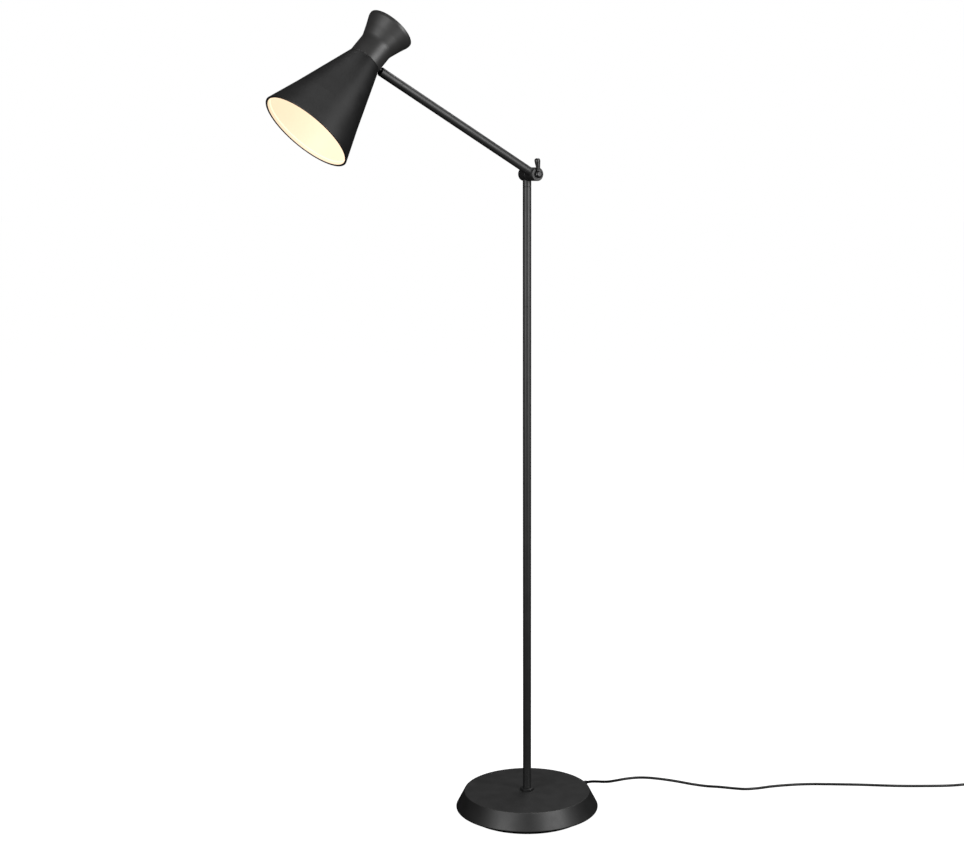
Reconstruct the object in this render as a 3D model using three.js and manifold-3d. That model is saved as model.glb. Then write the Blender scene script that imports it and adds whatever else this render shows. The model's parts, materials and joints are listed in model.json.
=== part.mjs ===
// Adjustable-arm floor lamp: weighted round base, jointed pole, clamped arm and a
// ball-jointed double-cone shade. Millimetres, +Z up, origin at the centre of the base on
// the floor. The arm points to -X, and the arm pivot's axis is along Y.

import * as THREE from 'three';
import { mergeVertices } from 'three/addons/utils/BufferGeometryUtils.js';
import Module from 'manifold-3d';

const wasm = await Module();
wasm.setup();

// Driving dimensions
const GAP = 0.3; // between pieces that touch

const BASE = {
  rimRadius: 139.8,
  rimHeight: 12.6,
  rimRound: 3.5,
  topRadius: 123,
  topHeight: 43.4,
  sheet: 1.5,
  boreRadius: 5.4,
};
const FOOT_RADIUS = 118;
const PAD_THICKNESS = 3;
const PLATE_THICKNESS = 1.5;
const WEIGHT = { radius: 126, shoulder: 9.4, top: 19, bossRadius: 22 };
const NUT_RECESS = { radius: 17, top: 18 };

const TUBE_RADIUS = 8;
const TUBE_WALL = 1.2;
const SPIGOT_RADIUS = TUBE_RADIUS - TUBE_WALL - GAP;
const LEAD_RADIUS = 2.4;
const LEAD_BORE = 3;
const COLLAR_NUT = { height: 4.3, acrossFlats: 24, turn: -34 };
const POLE_SEAMS = [520.5, 993];
const POLE_TOP = 1215;
const POLE_START = BASE.topHeight + COLLAR_NUT.height + 2 * GAP;

const PIVOT_HEIGHT = 1238.4;
const KNUCKLE_RADIUS = 12.5;
const POLE_KNUCKLE = { front: -10.4, back: 11 };
const ARM_KNUCKLE = { front: -32.5, back: -11.6 };
const ARM_Y = (ARM_KNUCKLE.front + ARM_KNUCKLE.back) / 2;
const BOLT_RADIUS = 3;
const CLAMP_FACE = -35.6;
const LEVER_TILT = 5;

const ARM_LIFT = 28.8; // degrees above the horizontal
const STUB_LENGTH = 22;
const SLEEVE = { start: 320.3, tip: 365, radius: 8, bore: 7.1 };
const SHADE_DISTANCE = 400.6; // from the pivot's axis to the shade's axis, along the arm
const BALL = { back: 41.6, radius: 5.6 }; // back: from the shade's axis, along the arm

const SHADE_TILT = 43.2; // degrees between the shade's axis and the vertical
const SHADE = {
  sheet: 0.8,
  mouthRadius: 83.7,
  seamRadius: 29.8,
  coneLength: 167.5,
  collarHeight: 24,
  waistHeight: 30,
  rimRadius: 43.4,
  neckHeight: 78,
};

const STUD_LEAN = THREE.MathUtils.degToRad(SHADE_TILT - ARM_LIFT);
const STUD = { x: BALL.back * Math.cos(STUD_LEAN), z: BALL.back * Math.sin(STUD_LEAN) };
const BULB_WALL = 1.2;

const CORD_RADIUS = 2.6;
const CORD_FLOOR = CORD_RADIUS + GAP;
const CORD_TURN = 8; // degrees from +X, the direction in which the cord leaves the base
const GLAND = { height: 18, back: 124, taper: 141, tip: 163, radius: 5.6, collarRadius: 8 };
const COIL = { radius: 29.5, rise: 4.6, x: 891.7, y: -488, turn: -34 };
const SWITCH = { length: 56, width: 24, height: 14, centre: -70, seam: 6.5 };
const PLUG = { back: -36, sleeve: 18, body: 34, halfWidth: 17, thickness: 13.6, height: 7.1 };
const PIN = { spacing: 18.6, radius: 2, length: 19 };

// The free cord's route from the strain relief to the switch
const CORD_ROUTE = [
  [161.6, 22.7, 17.9],
  [176, 24.7, 15.6],
  [192, 26.7, 11.6],
  [208, 28.6, 7.2],
  [224, 29.8, 4],
  [242, 29, CORD_FLOOR],
  [263, 26, CORD_FLOOR],
  [285, 19, CORD_FLOOR],
  [303, 7, CORD_FLOOR],
  [320, -12, CORD_FLOOR],
  [340, -42, CORD_FLOOR],
  [357, -74, CORD_FLOOR],
  [374, -99, CORD_FLOOR],
  [394, -119, CORD_FLOOR],
  [411, -139, CORD_FLOOR],
  [428, -156, CORD_FLOOR],
  [451, -167, CORD_FLOOR],
  [484, -176, CORD_FLOOR],
  [522, -191, CORD_FLOOR],
  [556, -209, CORD_FLOOR],
  [588, -231, CORD_FLOOR],
  [640, -270, CORD_FLOOR],
  [698, -317, CORD_FLOOR],
  [752, -354, CORD_FLOOR],
  [788, -377, 3.3],
  [823.2, -400, 6.3],
  [834, -407.2, SWITCH.seam],
];

// The short stretches beside the coil, in the cord end's own axes
const SWITCH_LINE = COIL.radius + 2 * CORD_RADIUS;
const PLUG_LINE = -COIL.radius - CORD_RADIUS;
const SWITCH_TO_COIL = [
  [-47, SWITCH_LINE, SWITCH.seam],
  [-40, SWITCH_LINE, SWITCH.seam],
  [-33, SWITCH_LINE, 5.4],
  [-26, SWITCH_LINE, 3.7],
  [-20.3, SWITCH_LINE, 3],
];
const COIL_TO_PLUG = [
  [-24.3, PLUG_LINE, 8.2],
  [-29, PLUG_LINE, 7.8],
  [PLUG.back + GAP, PLUG_LINE, PLUG.height],
];

// Materials
function paint(colour, roughness, metalness) {
  return new THREE.MeshStandardMaterial({ color: colour, roughness, metalness });
}

const BLACK_PAINT = paint('#232323', 0.5, 0.1);
const NECK_PAINT = paint('#2b2b2b', 0.42, 0.1);
const CAST_IRON = paint('#3a3a3c', 0.8, 0.6);
const ZINC_STEEL = paint('#b9bcc0', 0.35, 1);
const BRASS = paint('#b89a52', 0.3, 1);
const BLACK_RUBBER = paint('#141414', 0.85, 0);
const BLACK_PLASTIC = paint('#1a1a1a', 0.45, 0);
const NYLON = paint('#2a2a2a', 0.5, 0);
const CERAMIC = paint('#eeeae0', 0.4, 0);
const FELT = paint('#101010', 1, 0);
const BULB_GLASS = paint('#fff1d0', 0.3, 0);

// Geometry helpers
function radians(degrees) {
  return THREE.MathUtils.degToRad(degrees);
}

function signedVolume(geometry) {
  const place = geometry.getAttribute('position');
  const corner = [0, 1, 2].map(() => new THREE.Vector3());
  let volume = 0;
  for (let i = 0; i < geometry.index.count; i += 3) {
    corner.forEach((c, k) => c.fromBufferAttribute(place, geometry.index.getX(i + k)));
    volume += corner[0].dot(corner[1].cross(corner[2])) / 6;
  }
  return volume;
}

// Merges shared corners, drops flat triangles and turns the faces outwards.
function closed(source) {
  const bare = source.clone();
  bare.deleteAttribute('normal');
  bare.deleteAttribute('uv');
  const geometry = mergeVertices(bare, 1e-4);
  const kept = [];
  for (let i = 0; i < geometry.index.count; i += 3) {
    const [a, b, c] = [0, 1, 2].map((k) => geometry.index.getX(i + k));
    if (a !== b && b !== c && c !== a) kept.push(a, b, c);
  }
  geometry.setIndex(kept);
  if (signedVolume(geometry) < 0) geometry.setIndex(kept.reverse());
  return geometry;
}

function toManifold(geometry) {
  const clean = closed(geometry);
  return new wasm.Manifold(
    new wasm.Mesh({
      numProp: 3,
      vertProperties: new Float32Array(clean.getAttribute('position').array),
      triVerts: new Uint32Array(clean.index.array),
    }),
  );
}

function fromManifold(solid) {
  const mesh = solid.getMesh();
  const geometry = new THREE.BufferGeometry();
  geometry.setAttribute('position', new THREE.BufferAttribute(mesh.vertProperties, 3));
  geometry.setIndex(new THREE.BufferAttribute(mesh.triVerts, 1));
  return geometry;
}

function cut(whole, ...tools) {
  return fromManifold(tools.reduce((s, tool) => s.subtract(toManifold(tool)), toManifold(whole)));
}

function join(...pieces) {
  return fromManifold(pieces.map(toManifold).reduce((s, piece) => s.add(piece)));
}

function common(one, other) {
  return fromManifold(toManifold(one).intersect(toManifold(other)));
}

// A profile of [radius, height] pairs turned about Z. A profile that stays off the axis is closed.
function turned(profile, segments = 16) {
  const points = profile.map(([radius, height]) => new THREE.Vector2(radius, height));
  const onAxis = profile[0][0] === 0 && profile[profile.length - 1][0] === 0;
  if (!onAxis) points.push(points[0].clone());
  return closed(new THREE.LatheGeometry(points, segments).rotateX(Math.PI / 2));
}

function ring(inner, outer, low, high, segments = 16) {
  return turned([[inner, low], [outer, low], [outer, high], [inner, high]], segments);
}

function rod(radius, low, high, segments = 16) {
  return turned([[0, low], [radius, low], [radius, high], [0, high]], segments);
}

// Points of an arc in the profile plane, angles in degrees from the radial direction.
function arc(radius, height, size, from, to, steps) {
  return Array.from({ length: steps + 1 }, (_, i) => {
    const angle = radians(from + ((to - from) * i) / steps);
    return [radius + size * Math.cos(angle), height + size * Math.sin(angle)];
  });
}

function hexNut(acrossFlats, bore, low, high) {
  const shape = new THREE.Shape();
  const corner = acrossFlats / Math.sqrt(3);
  for (let i = 0; i < 6; i += 1) {
    const angle = (i * Math.PI) / 3;
    const move = i === 0 ? 'moveTo' : 'lineTo';
    shape[move](corner * Math.cos(angle), corner * Math.sin(angle));
  }
  shape.closePath();
  shape.holes.push(new THREE.Path().absarc(0, 0, bore, 0, 2 * Math.PI, true));
  const solid = new THREE.ExtrudeGeometry(shape, {
    depth: high - low,
    bevelEnabled: false,
    curveSegments: 8,
  });
  return closed(solid.translate(0, 0, low));
}

function roundedSlab(length, width, corner, low, high) {
  const shape = new THREE.Shape();
  const [x, y] = [length / 2, width / 2];
  shape.moveTo(-x + corner, -y);
  shape.lineTo(x - corner, -y);
  shape.absarc(x - corner, -y + corner, corner, -Math.PI / 2, 0, false);
  shape.absarc(x - corner, y - corner, corner, 0, Math.PI / 2, false);
  shape.absarc(-x + corner, y - corner, corner, Math.PI / 2, Math.PI, false);
  shape.absarc(-x + corner, -y + corner, corner, Math.PI, 1.5 * Math.PI, false);
  const solid = new THREE.ExtrudeGeometry(shape, {
    depth: high - low,
    bevelEnabled: false,
    curveSegments: 5,
  });
  return closed(solid.translate(0, 0, low));
}

function block(sizeX, sizeY, sizeZ, x, y, z) {
  return new THREE.BoxGeometry(sizeX, sizeY, sizeZ).translate(x, y, z);
}

// Points of a route as a round tube.
function tubeAlong(points, radius, sides, steps) {
  const section = new THREE.Shape().absarc(0, 0, radius, 0, 2 * Math.PI, false);
  const path = new THREE.CatmullRomCurve3(points.map((p) => new THREE.Vector3(...p)), false, 'centripetal');
  return closed(
    new THREE.ExtrudeGeometry(section, {
      steps,
      extrudePath: path,
      curveSegments: sides / 2, // a whole circle takes twice this many sides
      bevelEnabled: false,
    }),
  );
}

// Turns a solid made about Z so that its axis runs along -Y, front end first.
function aboutPivot(geometry) {
  return geometry.rotateX(Math.PI / 2);
}

function part(name, geometry, material) {
  const mesh = new THREE.Mesh(geometry, material);
  mesh.name = name;
  return mesh;
}

function group(...children) {
  return new THREE.Group().add(...children);
}

// Base
function baseOutline(offset, steps = 5) {
  const slope = Math.atan2(BASE.topHeight - BASE.rimHeight, BASE.rimRadius - BASE.topRadius);
  const lean = 90 - THREE.MathUtils.radToDeg(slope);
  const round = arc(
    BASE.rimRadius - BASE.rimRound,
    BASE.rimHeight,
    BASE.rimRound - offset,
    -90,
    lean,
    steps,
  );
  return [...round, [BASE.topRadius - 0.6 - offset, BASE.topHeight - offset]];
}

function baseEnvelope(offset) {
  const outline = baseOutline(offset);
  return turned([[0, outline[0][1]], ...outline, [0, BASE.topHeight - offset]], 56);
}

function cableTunnel(radius) {
  const tunnel = rod(radius, 100, 150).rotateY(Math.PI / 2);
  return tunnel.translate(0, 0, GLAND.height).rotateZ(radians(CORD_TURN));
}

function baseCover() {
  const inside = baseOutline(BASE.sheet, 2).reverse();
  const lip = BASE.rimRadius - BASE.rimRound - 2.8;
  const shell = turned(
    [
      [BASE.boreRadius, BASE.topHeight - BASE.sheet],
      ...inside,
      [lip, BASE.rimHeight - BASE.rimRound + BASE.sheet],
      [lip, BASE.rimHeight - BASE.rimRound],
      ...baseOutline(0),
      [BASE.boreRadius, BASE.topHeight],
    ],
    56,
  );
  return part('base_cover', cut(shell, cableTunnel(GLAND.radius + GAP)), BLACK_PAINT);
}

function baseWeight() {
  const bottom = PAD_THICKNESS + PLATE_THICKNESS + 2 * GAP;
  const boss = BASE.topHeight - BASE.sheet - GAP;
  const disc = turned(
    [
      [BASE.boreRadius, NUT_RECESS.top],
      [NUT_RECESS.radius, NUT_RECESS.top],
      [NUT_RECESS.radius, bottom],
      [FOOT_RADIUS, bottom],
      [FOOT_RADIUS, WEIGHT.shoulder],
      [WEIGHT.radius, WEIGHT.shoulder],
      [WEIGHT.radius, WEIGHT.top],
      [WEIGHT.bossRadius, WEIGHT.top],
      [WEIGHT.bossRadius, boss],
      [BASE.boreRadius, boss],
    ],
    40,
  );
  const channelTop = 11.5;
  const leadChannel = block(110, 7, channelTop, 65, 0, channelTop / 2);
  const glandRoom = block(46, 19, 40, 123, 0, 20);
  const slot = join(leadChannel, glandRoom).rotateZ(radians(CORD_TURN));
  return part('base_weight', cut(disc, slot), CAST_IRON);
}

function basePieces() {
  const plateLow = PAD_THICKNESS + GAP;
  const recess = NUT_RECESS.top - GAP;
  const foot = POLE_START - GAP;
  return [
    part('foot_pad', rod(FOOT_RADIUS, 0, PAD_THICKNESS, 48), FELT),
    part('base_plate', rod(FOOT_RADIUS, plateLow, plateLow + PLATE_THICKNESS, 48), ZINC_STEEL),
    baseWeight(),
    baseCover(),
    part('base_washer', ring(BASE.boreRadius, 13, recess - 1.2, recess), ZINC_STEEL),
    part('base_nut', hexNut(17, BASE.boreRadius, recess - 5.5, recess - 1.5), ZINC_STEEL),
    part('threaded_tube', ring(3.2, 5, 11.6, 80), ZINC_STEEL),
    part('collar_nut', collarNut(foot), BLACK_PAINT),
  ];
}

function collarNut(top) {
  const nut = hexNut(COLLAR_NUT.acrossFlats, BASE.boreRadius, BASE.topHeight + GAP, top);
  return nut.rotateZ(radians(COLLAR_NUT.turn));
}

// Strain relief where the cord leaves the base, and the ring nut that holds it
function glandPieces() {
  const bore = CORD_RADIUS + GAP;
  const boot = turned([
    [bore, GLAND.back],
    [GLAND.radius, GLAND.back],
    [GLAND.radius, GLAND.taper],
    [GLAND.radius - 0.2, GLAND.taper + 3],
    [bore + 0.8, GLAND.tip - GAP],
    [bore, GLAND.tip - GAP],
  ], 24);
  const collar = ring(bore, GLAND.collarRadius, GLAND.back + 4, GLAND.taper + 1.5, 24);
  const lay = (solid) => solid.rotateY(Math.PI / 2).translate(0, 0, GLAND.height);
  const outside = cut(lay(collar), baseEnvelope(-GAP));
  const nut = lay(ring(GLAND.radius + GAP, 8.4, GLAND.back - 1, GLAND.taper - 1, 24));
  const turnedGroup = group(
    part('cord_gland', join(lay(boot), outside), BLACK_PLASTIC),
    part('gland_nut', common(nut, baseEnvelope(BASE.sheet + 2 * GAP)), ZINC_STEEL),
  );
  turnedGroup.rotation.z = radians(CORD_TURN);
  return turnedGroup;
}

// Pole
function poleTube(name, low, high) {
  return part(name, ring(TUBE_RADIUS - TUBE_WALL, TUBE_RADIUS, low, high, 24), BLACK_PAINT);
}

function poleHead() {
  const drum = aboutPivot(rod(KNUCKLE_RADIUS, -POLE_KNUCKLE.back, -POLE_KNUCKLE.front, 32));
  const stub = rod(TUBE_RADIUS, POLE_TOP + GAP - PIVOT_HEIGHT, -4, 24);
  const spigot = rod(SPIGOT_RADIUS, POLE_TOP - 22 - PIVOT_HEIGHT, -6, 16);
  const boltHole = aboutPivot(rod(BOLT_RADIUS + GAP, -20, 20, 16));
  const boltRecess = aboutPivot(rod(6, -12, -7, 16));
  const leadHole = rod(LEAD_BORE, -60, -5, 12);
  const solid = cut(join(drum, stub, spigot), boltHole, boltRecess, leadHole);
  return part('pole_head', solid.translate(0, 0, PIVOT_HEIGHT), BLACK_PAINT);
}

function polePieces() {
  const [lower, upper] = POLE_SEAMS;
  return [
    poleTube('pole_lower', POLE_START, lower),
    poleTube('pole_middle', lower + GAP, upper),
    poleTube('pole_upper', upper + GAP, POLE_TOP),
    part('pole_foot_bush', ring(BASE.boreRadius, SPIGOT_RADIUS, 49, 79), ZINC_STEEL),
    part('pole_coupling_lower', ring(LEAD_BORE, SPIGOT_RADIUS, lower - 22, lower + 22), ZINC_STEEL),
    part('pole_coupling_upper', ring(LEAD_BORE, SPIGOT_RADIUS, upper - 22, upper + 22), ZINC_STEEL),
    poleHead(),
  ];
}

// The lead inside the base and the pole
function innerLeads() {
  const baseRoute = [
    [0, 0, 12.5],
    [0.6, 0, 10.2],
    [3.5, 0, 8.3],
    [9, 0, 8],
    [60, 0, 8],
    [96, 0, 8],
    [104, 0, 9.3],
    [112, 0, 14],
    [118, 0, 17.3],
    [123.5, 0, GLAND.height],
  ];
  const baseLead = part('base_lead', tubeAlong(baseRoute, 1.9, 8, 22), BLACK_PLASTIC);
  baseLead.rotation.z = radians(CORD_TURN);
  const poleLead = rod(LEAD_RADIUS, 14.8, PIVOT_HEIGHT - 8, 12);
  return [baseLead, part('pole_lead', poleLead, BLACK_PLASTIC)];
}

// Pivot hardware, made about Z and then turned onto the pivot's axis
function pivotBolt() {
  const head = -POLE_KNUCKLE.back + 0.6;
  const shank = turned([
    [0, head],
    [5.6, head],
    [5.6, head + 3],
    [BOLT_RADIUS, head + 3],
    [BOLT_RADIUS, 39.6],
    [0, 39.6],
  ], 16);
  return part('pivot_bolt', aboutPivot(shank), ZINC_STEEL);
}

function clampDisc() {
  const face = -CLAMP_FACE;
  const back = -ARM_KNUCKLE.front + GAP;
  const profile = turned([
    [BOLT_RADIUS + GAP, back + 1.2],
    [9.5, back + 1.2],
    [9.5, back],
    [KNUCKLE_RADIUS, back],
    [KNUCKLE_RADIUS, face - 0.5],
    [KNUCKLE_RADIUS - 0.5, face],
    [BOLT_RADIUS + GAP, face],
  ], 32);
  return part('clamp_disc', aboutPivot(profile), BLACK_PAINT);
}

function clampLever() {
  const back = -CLAMP_FACE + GAP;
  const dome = arc(0, 38.6, 7.1, 0, 90, 4).map(([r, z]) => [r, 38.6 + (z - 38.6) * 0.62]);
  const hub = aboutPivot(turned([[0, back], [7.1, back], ...dome.slice(0, -1), [0, 43]], 20));
  const stem = turned([
    [0, 2],
    [3.4, 2],
    [3.6, 8],
    [5.2, 24],
    ...arc(1.9, 25.4, 3.4, 0, 90, 3),
    [0, 28.8],
  ], 16);
  stem.rotateY(radians(-LEVER_TILT)).translate(0, -39.6, 0);
  const thread = aboutPivot(rod(BOLT_RADIUS + GAP, 30, 39.9, 20));
  return part('clamp_lever', cut(join(hub, stem), thread), BLACK_PAINT);
}

function pivotPieces() {
  const washerFront = -(ARM_KNUCKLE.back + GAP);
  const washer = ring(BOLT_RADIUS + GAP, 12.2, washerFront - 0.6, washerFront, 24);
  const spring = ring(BOLT_RADIUS + GAP, 9.1, -ARM_KNUCKLE.front + GAP, -ARM_KNUCKLE.front + 1.1, 16);
  const pieces = group(
    part('friction_washer', aboutPivot(washer), NYLON),
    part('spring_washer', aboutPivot(spring), ZINC_STEEL),
    pivotBolt(),
    clampDisc(),
    clampLever(),
  );
  pieces.position.z = PIVOT_HEIGHT;
  return pieces;
}

// Arm: local +Z runs out along the arm from the pivot's axis.
function armKnuckle() {
  const half = (ARM_KNUCKLE.back - ARM_KNUCKLE.front) / 2;
  const drum = aboutPivot(rod(KNUCKLE_RADIUS, -half, half, 32));
  const stub = rod(TUBE_RADIUS, 4, STUB_LENGTH, 24);
  const spigot = rod(SPIGOT_RADIUS, 6, STUB_LENGTH + 20, 16);
  const boltHole = aboutPivot(rod(BOLT_RADIUS + GAP, -20, 20, 16));
  const leadHole = rod(LEAD_BORE, 5, 60, 12);
  return part('arm_knuckle', cut(join(drum, stub, spigot), boltHole, leadHole), BLACK_PAINT);
}

function ballCup() {
  const centre = SHADE_DISTANCE - BALL.back;
  const seat = BALL.radius + GAP;
  const hole = 2.6;
  const from = -THREE.MathUtils.radToDeg(Math.acos(3.9 / seat));
  const to = -THREE.MathUtils.radToDeg(Math.acos(hole / seat));
  const bowl = arc(0, centre, seat, from, to, 3);
  return turned([[hole, centre - 15], [6.8, centre - 15], [6.8, bowl[0][1]], ...bowl], 16);
}

function armPieces() {
  const inner = TUBE_RADIUS - TUBE_WALL;
  const end = SLEEVE.start - GAP;
  const ballCentre = SHADE_DISTANCE - BALL.back;
  const sleeve = turned([
    [SLEEVE.bore, SLEEVE.start],
    [SLEEVE.radius, SLEEVE.start],
    [SLEEVE.radius, SLEEVE.tip - 0.5],
    [SLEEVE.radius - 0.4, SLEEVE.tip],
    [SLEEVE.bore, SLEEVE.tip],
  ], 24);
  const bush = turned([
    [LEAD_BORE, 296],
    [SPIGOT_RADIUS, 296],
    [SPIGOT_RADIUS, end],
    [6.8, SLEEVE.start],
    [6.8, 338],
    [LEAD_BORE, 338],
  ], 16);
  const retainer = ring(4.9, 6.8, ballCentre + 3.2, ballCentre + 5, 16);
  const arm = group(
    armKnuckle(),
    part('arm_tube', ring(inner, TUBE_RADIUS, STUB_LENGTH + GAP, end, 24), BLACK_PAINT),
    part('arm_lead', rod(LEAD_RADIUS, 6, 342, 12), BLACK_PLASTIC),
    part('arm_end_bush', bush, BRASS),
    part('head_sleeve', sleeve, BLACK_PAINT),
    part('ball_cup', ballCup(), NYLON),
    part('ball_retainer', retainer, ZINC_STEEL),
  );
  arm.position.set(0, ARM_Y, PIVOT_HEIGHT);
  arm.rotation.y = radians(ARM_LIFT - 90);
  return arm;
}

// Shade: local +Z runs from the mouth to the neck along the shade's axis, zero at the seam,
// and local +X points from the shade's axis to the ball joint.
function studHole(radius) {
  return rod(radius, 20, 45, 20).rotateY(Math.PI / 2).translate(0, 0, STUD.z);
}

function shadeCone() {
  const { sheet, mouthRadius, seamRadius, coneLength, collarHeight } = SHADE;
  const collar = seamRadius - sheet - GAP;
  const hem = 1.3;
  const shell = turned([
    [mouthRadius - sheet, -coneLength + 2 * hem],
    [mouthRadius - 2 * hem, -coneLength + hem],
    [mouthRadius - hem, -coneLength],
    [mouthRadius, -coneLength + hem * 0.6],
    [seamRadius, -2],
    [seamRadius, -GAP],
    [collar, -GAP],
    [collar, collarHeight],
    [BASE.boreRadius, collarHeight],
    [BASE.boreRadius, collarHeight - 1.2],
    [collar - sheet, collarHeight - 1.2],
    [collar - sheet, -1.2],
  ], 48);
  return part('shade_cone', cut(shell, studHole(3.6)), BLACK_PAINT);
}

function neckOutline(inset) {
  const { seamRadius, waistHeight, rimRadius, neckHeight } = SHADE;
  const bend = [
    [seamRadius, waistHeight],
    [seamRadius + 1.7, waistHeight + 9.5],
    [seamRadius + 6.4, waistHeight + 23.5],
    [rimRadius - 1.8, neckHeight - 10],
    [rimRadius, neckHeight - 3],
  ];
  return bend.map(([radius, height]) => [radius - inset, height]);
}

function shadeNeck() {
  const { sheet, seamRadius, rimRadius, neckHeight } = SHADE;
  const shell = turned([
    [seamRadius - sheet, 0],
    [seamRadius, 0],
    ...neckOutline(0),
    [rimRadius - 0.5, neckHeight - 0.3],
    [rimRadius - 1.6, neckHeight],
    [rimRadius - 2.6, neckHeight - 1.6],
    ...neckOutline(sheet).reverse(),
  ], 40);
  return part('shade_neck', cut(shell, studHole(3.6)), NECK_PAINT);
}

function neckCap() {
  const low = SHADE.neckHeight - 9;
  const vents = Array.from({ length: 8 }, (_, i) =>
    block(11, 2.4, 4, 22, 0, low).rotateZ((i * Math.PI) / 4),
  );
  const disc = rod(SHADE.rimRadius - 2.8, low, low + 1, 48);
  return part('neck_cap', cut(disc, ...vents), NECK_PAINT);
}

function studPieces() {
  const wall = SHADE.seamRadius;
  const profile = [
    [0, STUD.x + BALL.radius],
    ...arc(0, STUD.x, BALL.radius, 90, -62, 9).slice(1),
    [2.6, STUD.x - 7.4],
    [4.4, STUD.x - 7.5],
    [4.4, wall + 1.7],
    [BOLT_RADIUS, wall + 1.7],
    [BOLT_RADIUS, 20.5],
    [0, 20.5],
  ];
  const pieces = group(
    part('ball_stud', turned(profile, 20), ZINC_STEEL),
    part('stud_washer', ring(BOLT_RADIUS + GAP, 5, wall + GAP, wall + 1.4), BLACK_RUBBER),
    part('stud_inner_washer', ring(BOLT_RADIUS + GAP, 6.6, 25.8, 26.8, 16), ZINC_STEEL),
    part('stud_nut', hexNut(11, BOLT_RADIUS + GAP, 21.4, 25.5), ZINC_STEEL),
  );
  pieces.rotation.y = Math.PI / 2;
  pieces.position.z = STUD.z;
  return pieces;
}

function lampholderPieces() {
  const flange = SHADE.collarHeight;
  const body = turned([
    [13.9, -8],
    [18.4, -8],
    [18.4, 12],
    [12, 18],
    [9, flange - 1.5],
    [BASE.boreRadius, flange - 1.5],
    [BASE.boreRadius, 14.5],
    [13.9, 14.5],
  ], 24);
  return [
    part('lampholder_body', body, CERAMIC),
    part('lampholder_contact', ring(2, 4, 11.2, 14.2, 16), BRASS),
    part('lampholder_tube', ring(3.4, 5, 14.6, flange + 9, 16), ZINC_STEEL),
    part('lampholder_nut', hexNut(15, BASE.boreRadius, flange + GAP, flange + 4.5), ZINC_STEEL),
  ];
}

function bulbPieces() {
  const cap = turned([
    [0, -13],
    [13.2, -13],
    [13.2, 6],
    [7, 9],
    [4, 10.8],
    [0, 10.8],
  ], 24);
  const skin = (inset) => [
    [0, -96 + inset],
    ...arc(0, -66, 30 - inset, -75, 35, 7),
    [18.5 - inset, -38],
    [14.6 - inset, -26],
    [13 - inset, -13 - GAP],
  ];
  const globe = turned([...skin(0), ...skin(BULB_WALL).reverse()], 24);
  return [part('bulb_cap', cap, ZINC_STEEL), part('bulb_glass', globe, BULB_GLASS)];
}

function shadePieces() {
  const shade = group(
    shadeCone(),
    shadeNeck(),
    neckCap(),
    studPieces(),
    ...lampholderPieces(),
    ...bulbPieces(),
  );
  const reach = SHADE_DISTANCE * Math.cos(radians(ARM_LIFT));
  const rise = SHADE_DISTANCE * Math.sin(radians(ARM_LIFT));
  shade.position.set(-reach, ARM_Y, PIVOT_HEIGHT + rise);
  shade.rotation.y = radians(SHADE_TILT);
  return shade;
}

// Cord end: local +X runs on along the cord, the origin is the coil's centre on the floor.
function coilPieces() {
  const outer = COIL.radius + 3 * CORD_RADIUS + 0.4;
  const inner = COIL.radius - 3 * CORD_RADIUS - 0.4;
  const top = CORD_FLOOR + COIL.rise + CORD_RADIUS + 1;
  const bundle = turned([
    [inner, GAP],
    [outer, GAP],
    [outer, top - 2.5],
    [outer - 2.5, top],
    [inner + 2.5, top],
    [inner, top - 2.5],
  ], 32);
  const strap = 1;
  const tieWidth = outer - inner + 3 * GAP + 2 * strap;
  const tieHeight = top + GAP + strap;
  const hole = block(tieWidth - 2 * strap, 12, tieHeight, 0, 0, tieHeight / 2 - strap);
  const tie = cut(block(tieWidth, 7, tieHeight, 0, 0, tieHeight / 2), hole);
  return [
    part('cord_coil', bundle, BLACK_RUBBER),
    part('cord_tie', tie.translate(COIL.radius - GAP / 2, 0, 0), BLACK_RUBBER),
  ];
}

// The rocker key about its pin: flat at its low end and raised at the other
function rockerKey(width) {
  const side = new THREE.Shape();
  side.moveTo(-8, -2.2);
  side.lineTo(8, -2.2);
  side.lineTo(8, 2.6);
  side.lineTo(0, 0.9);
  side.lineTo(-8, 0.9);
  side.closePath();
  const key = new THREE.ExtrudeGeometry(side, { depth: width, bevelEnabled: false });
  return closed(key.translate(0, 0, -width / 2).rotateX(Math.PI / 2));
}

function switchPieces() {
  const { length, width, height, centre, seam } = SWITCH;
  const pivotHeight = height - 1;
  const well = block(17, 8.6, 9, 0, 0, pivotHeight);
  const lower = roundedSlab(length, width, 9, GAP, seam - GAP / 2);
  const upper = cut(roundedSlab(length, width, 9, seam + GAP / 2, height), well);
  const cordRoom = rod(CORD_RADIUS + GAP, -length, length, 16).rotateY(Math.PI / 2).translate(0, 0, seam);
  const screws = [-19, 19].map((x, i) => {
    const screw = rod(1.8, height + GAP, height + 1, 16).translate(x, 0, 0);
    return part(`switch_screw_${i + 1}`, screw, ZINC_STEEL);
  });
  const middle = block(length - 16, width, height * 2, 0, 0, 0);
  const endRooms = cut(cordRoom, middle);
  const pieces = group(
    part('switch_base', cut(lower, endRooms), BLACK_PLASTIC),
    part('switch_cover', cut(upper, endRooms), BLACK_PLASTIC),
    part('switch_rocker', rockerKey(8).translate(0, 0, pivotHeight), BLACK_PLASTIC),
    ...screws,
  );
  pieces.position.set(centre, SWITCH_LINE, 0);
  return pieces;
}

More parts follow.
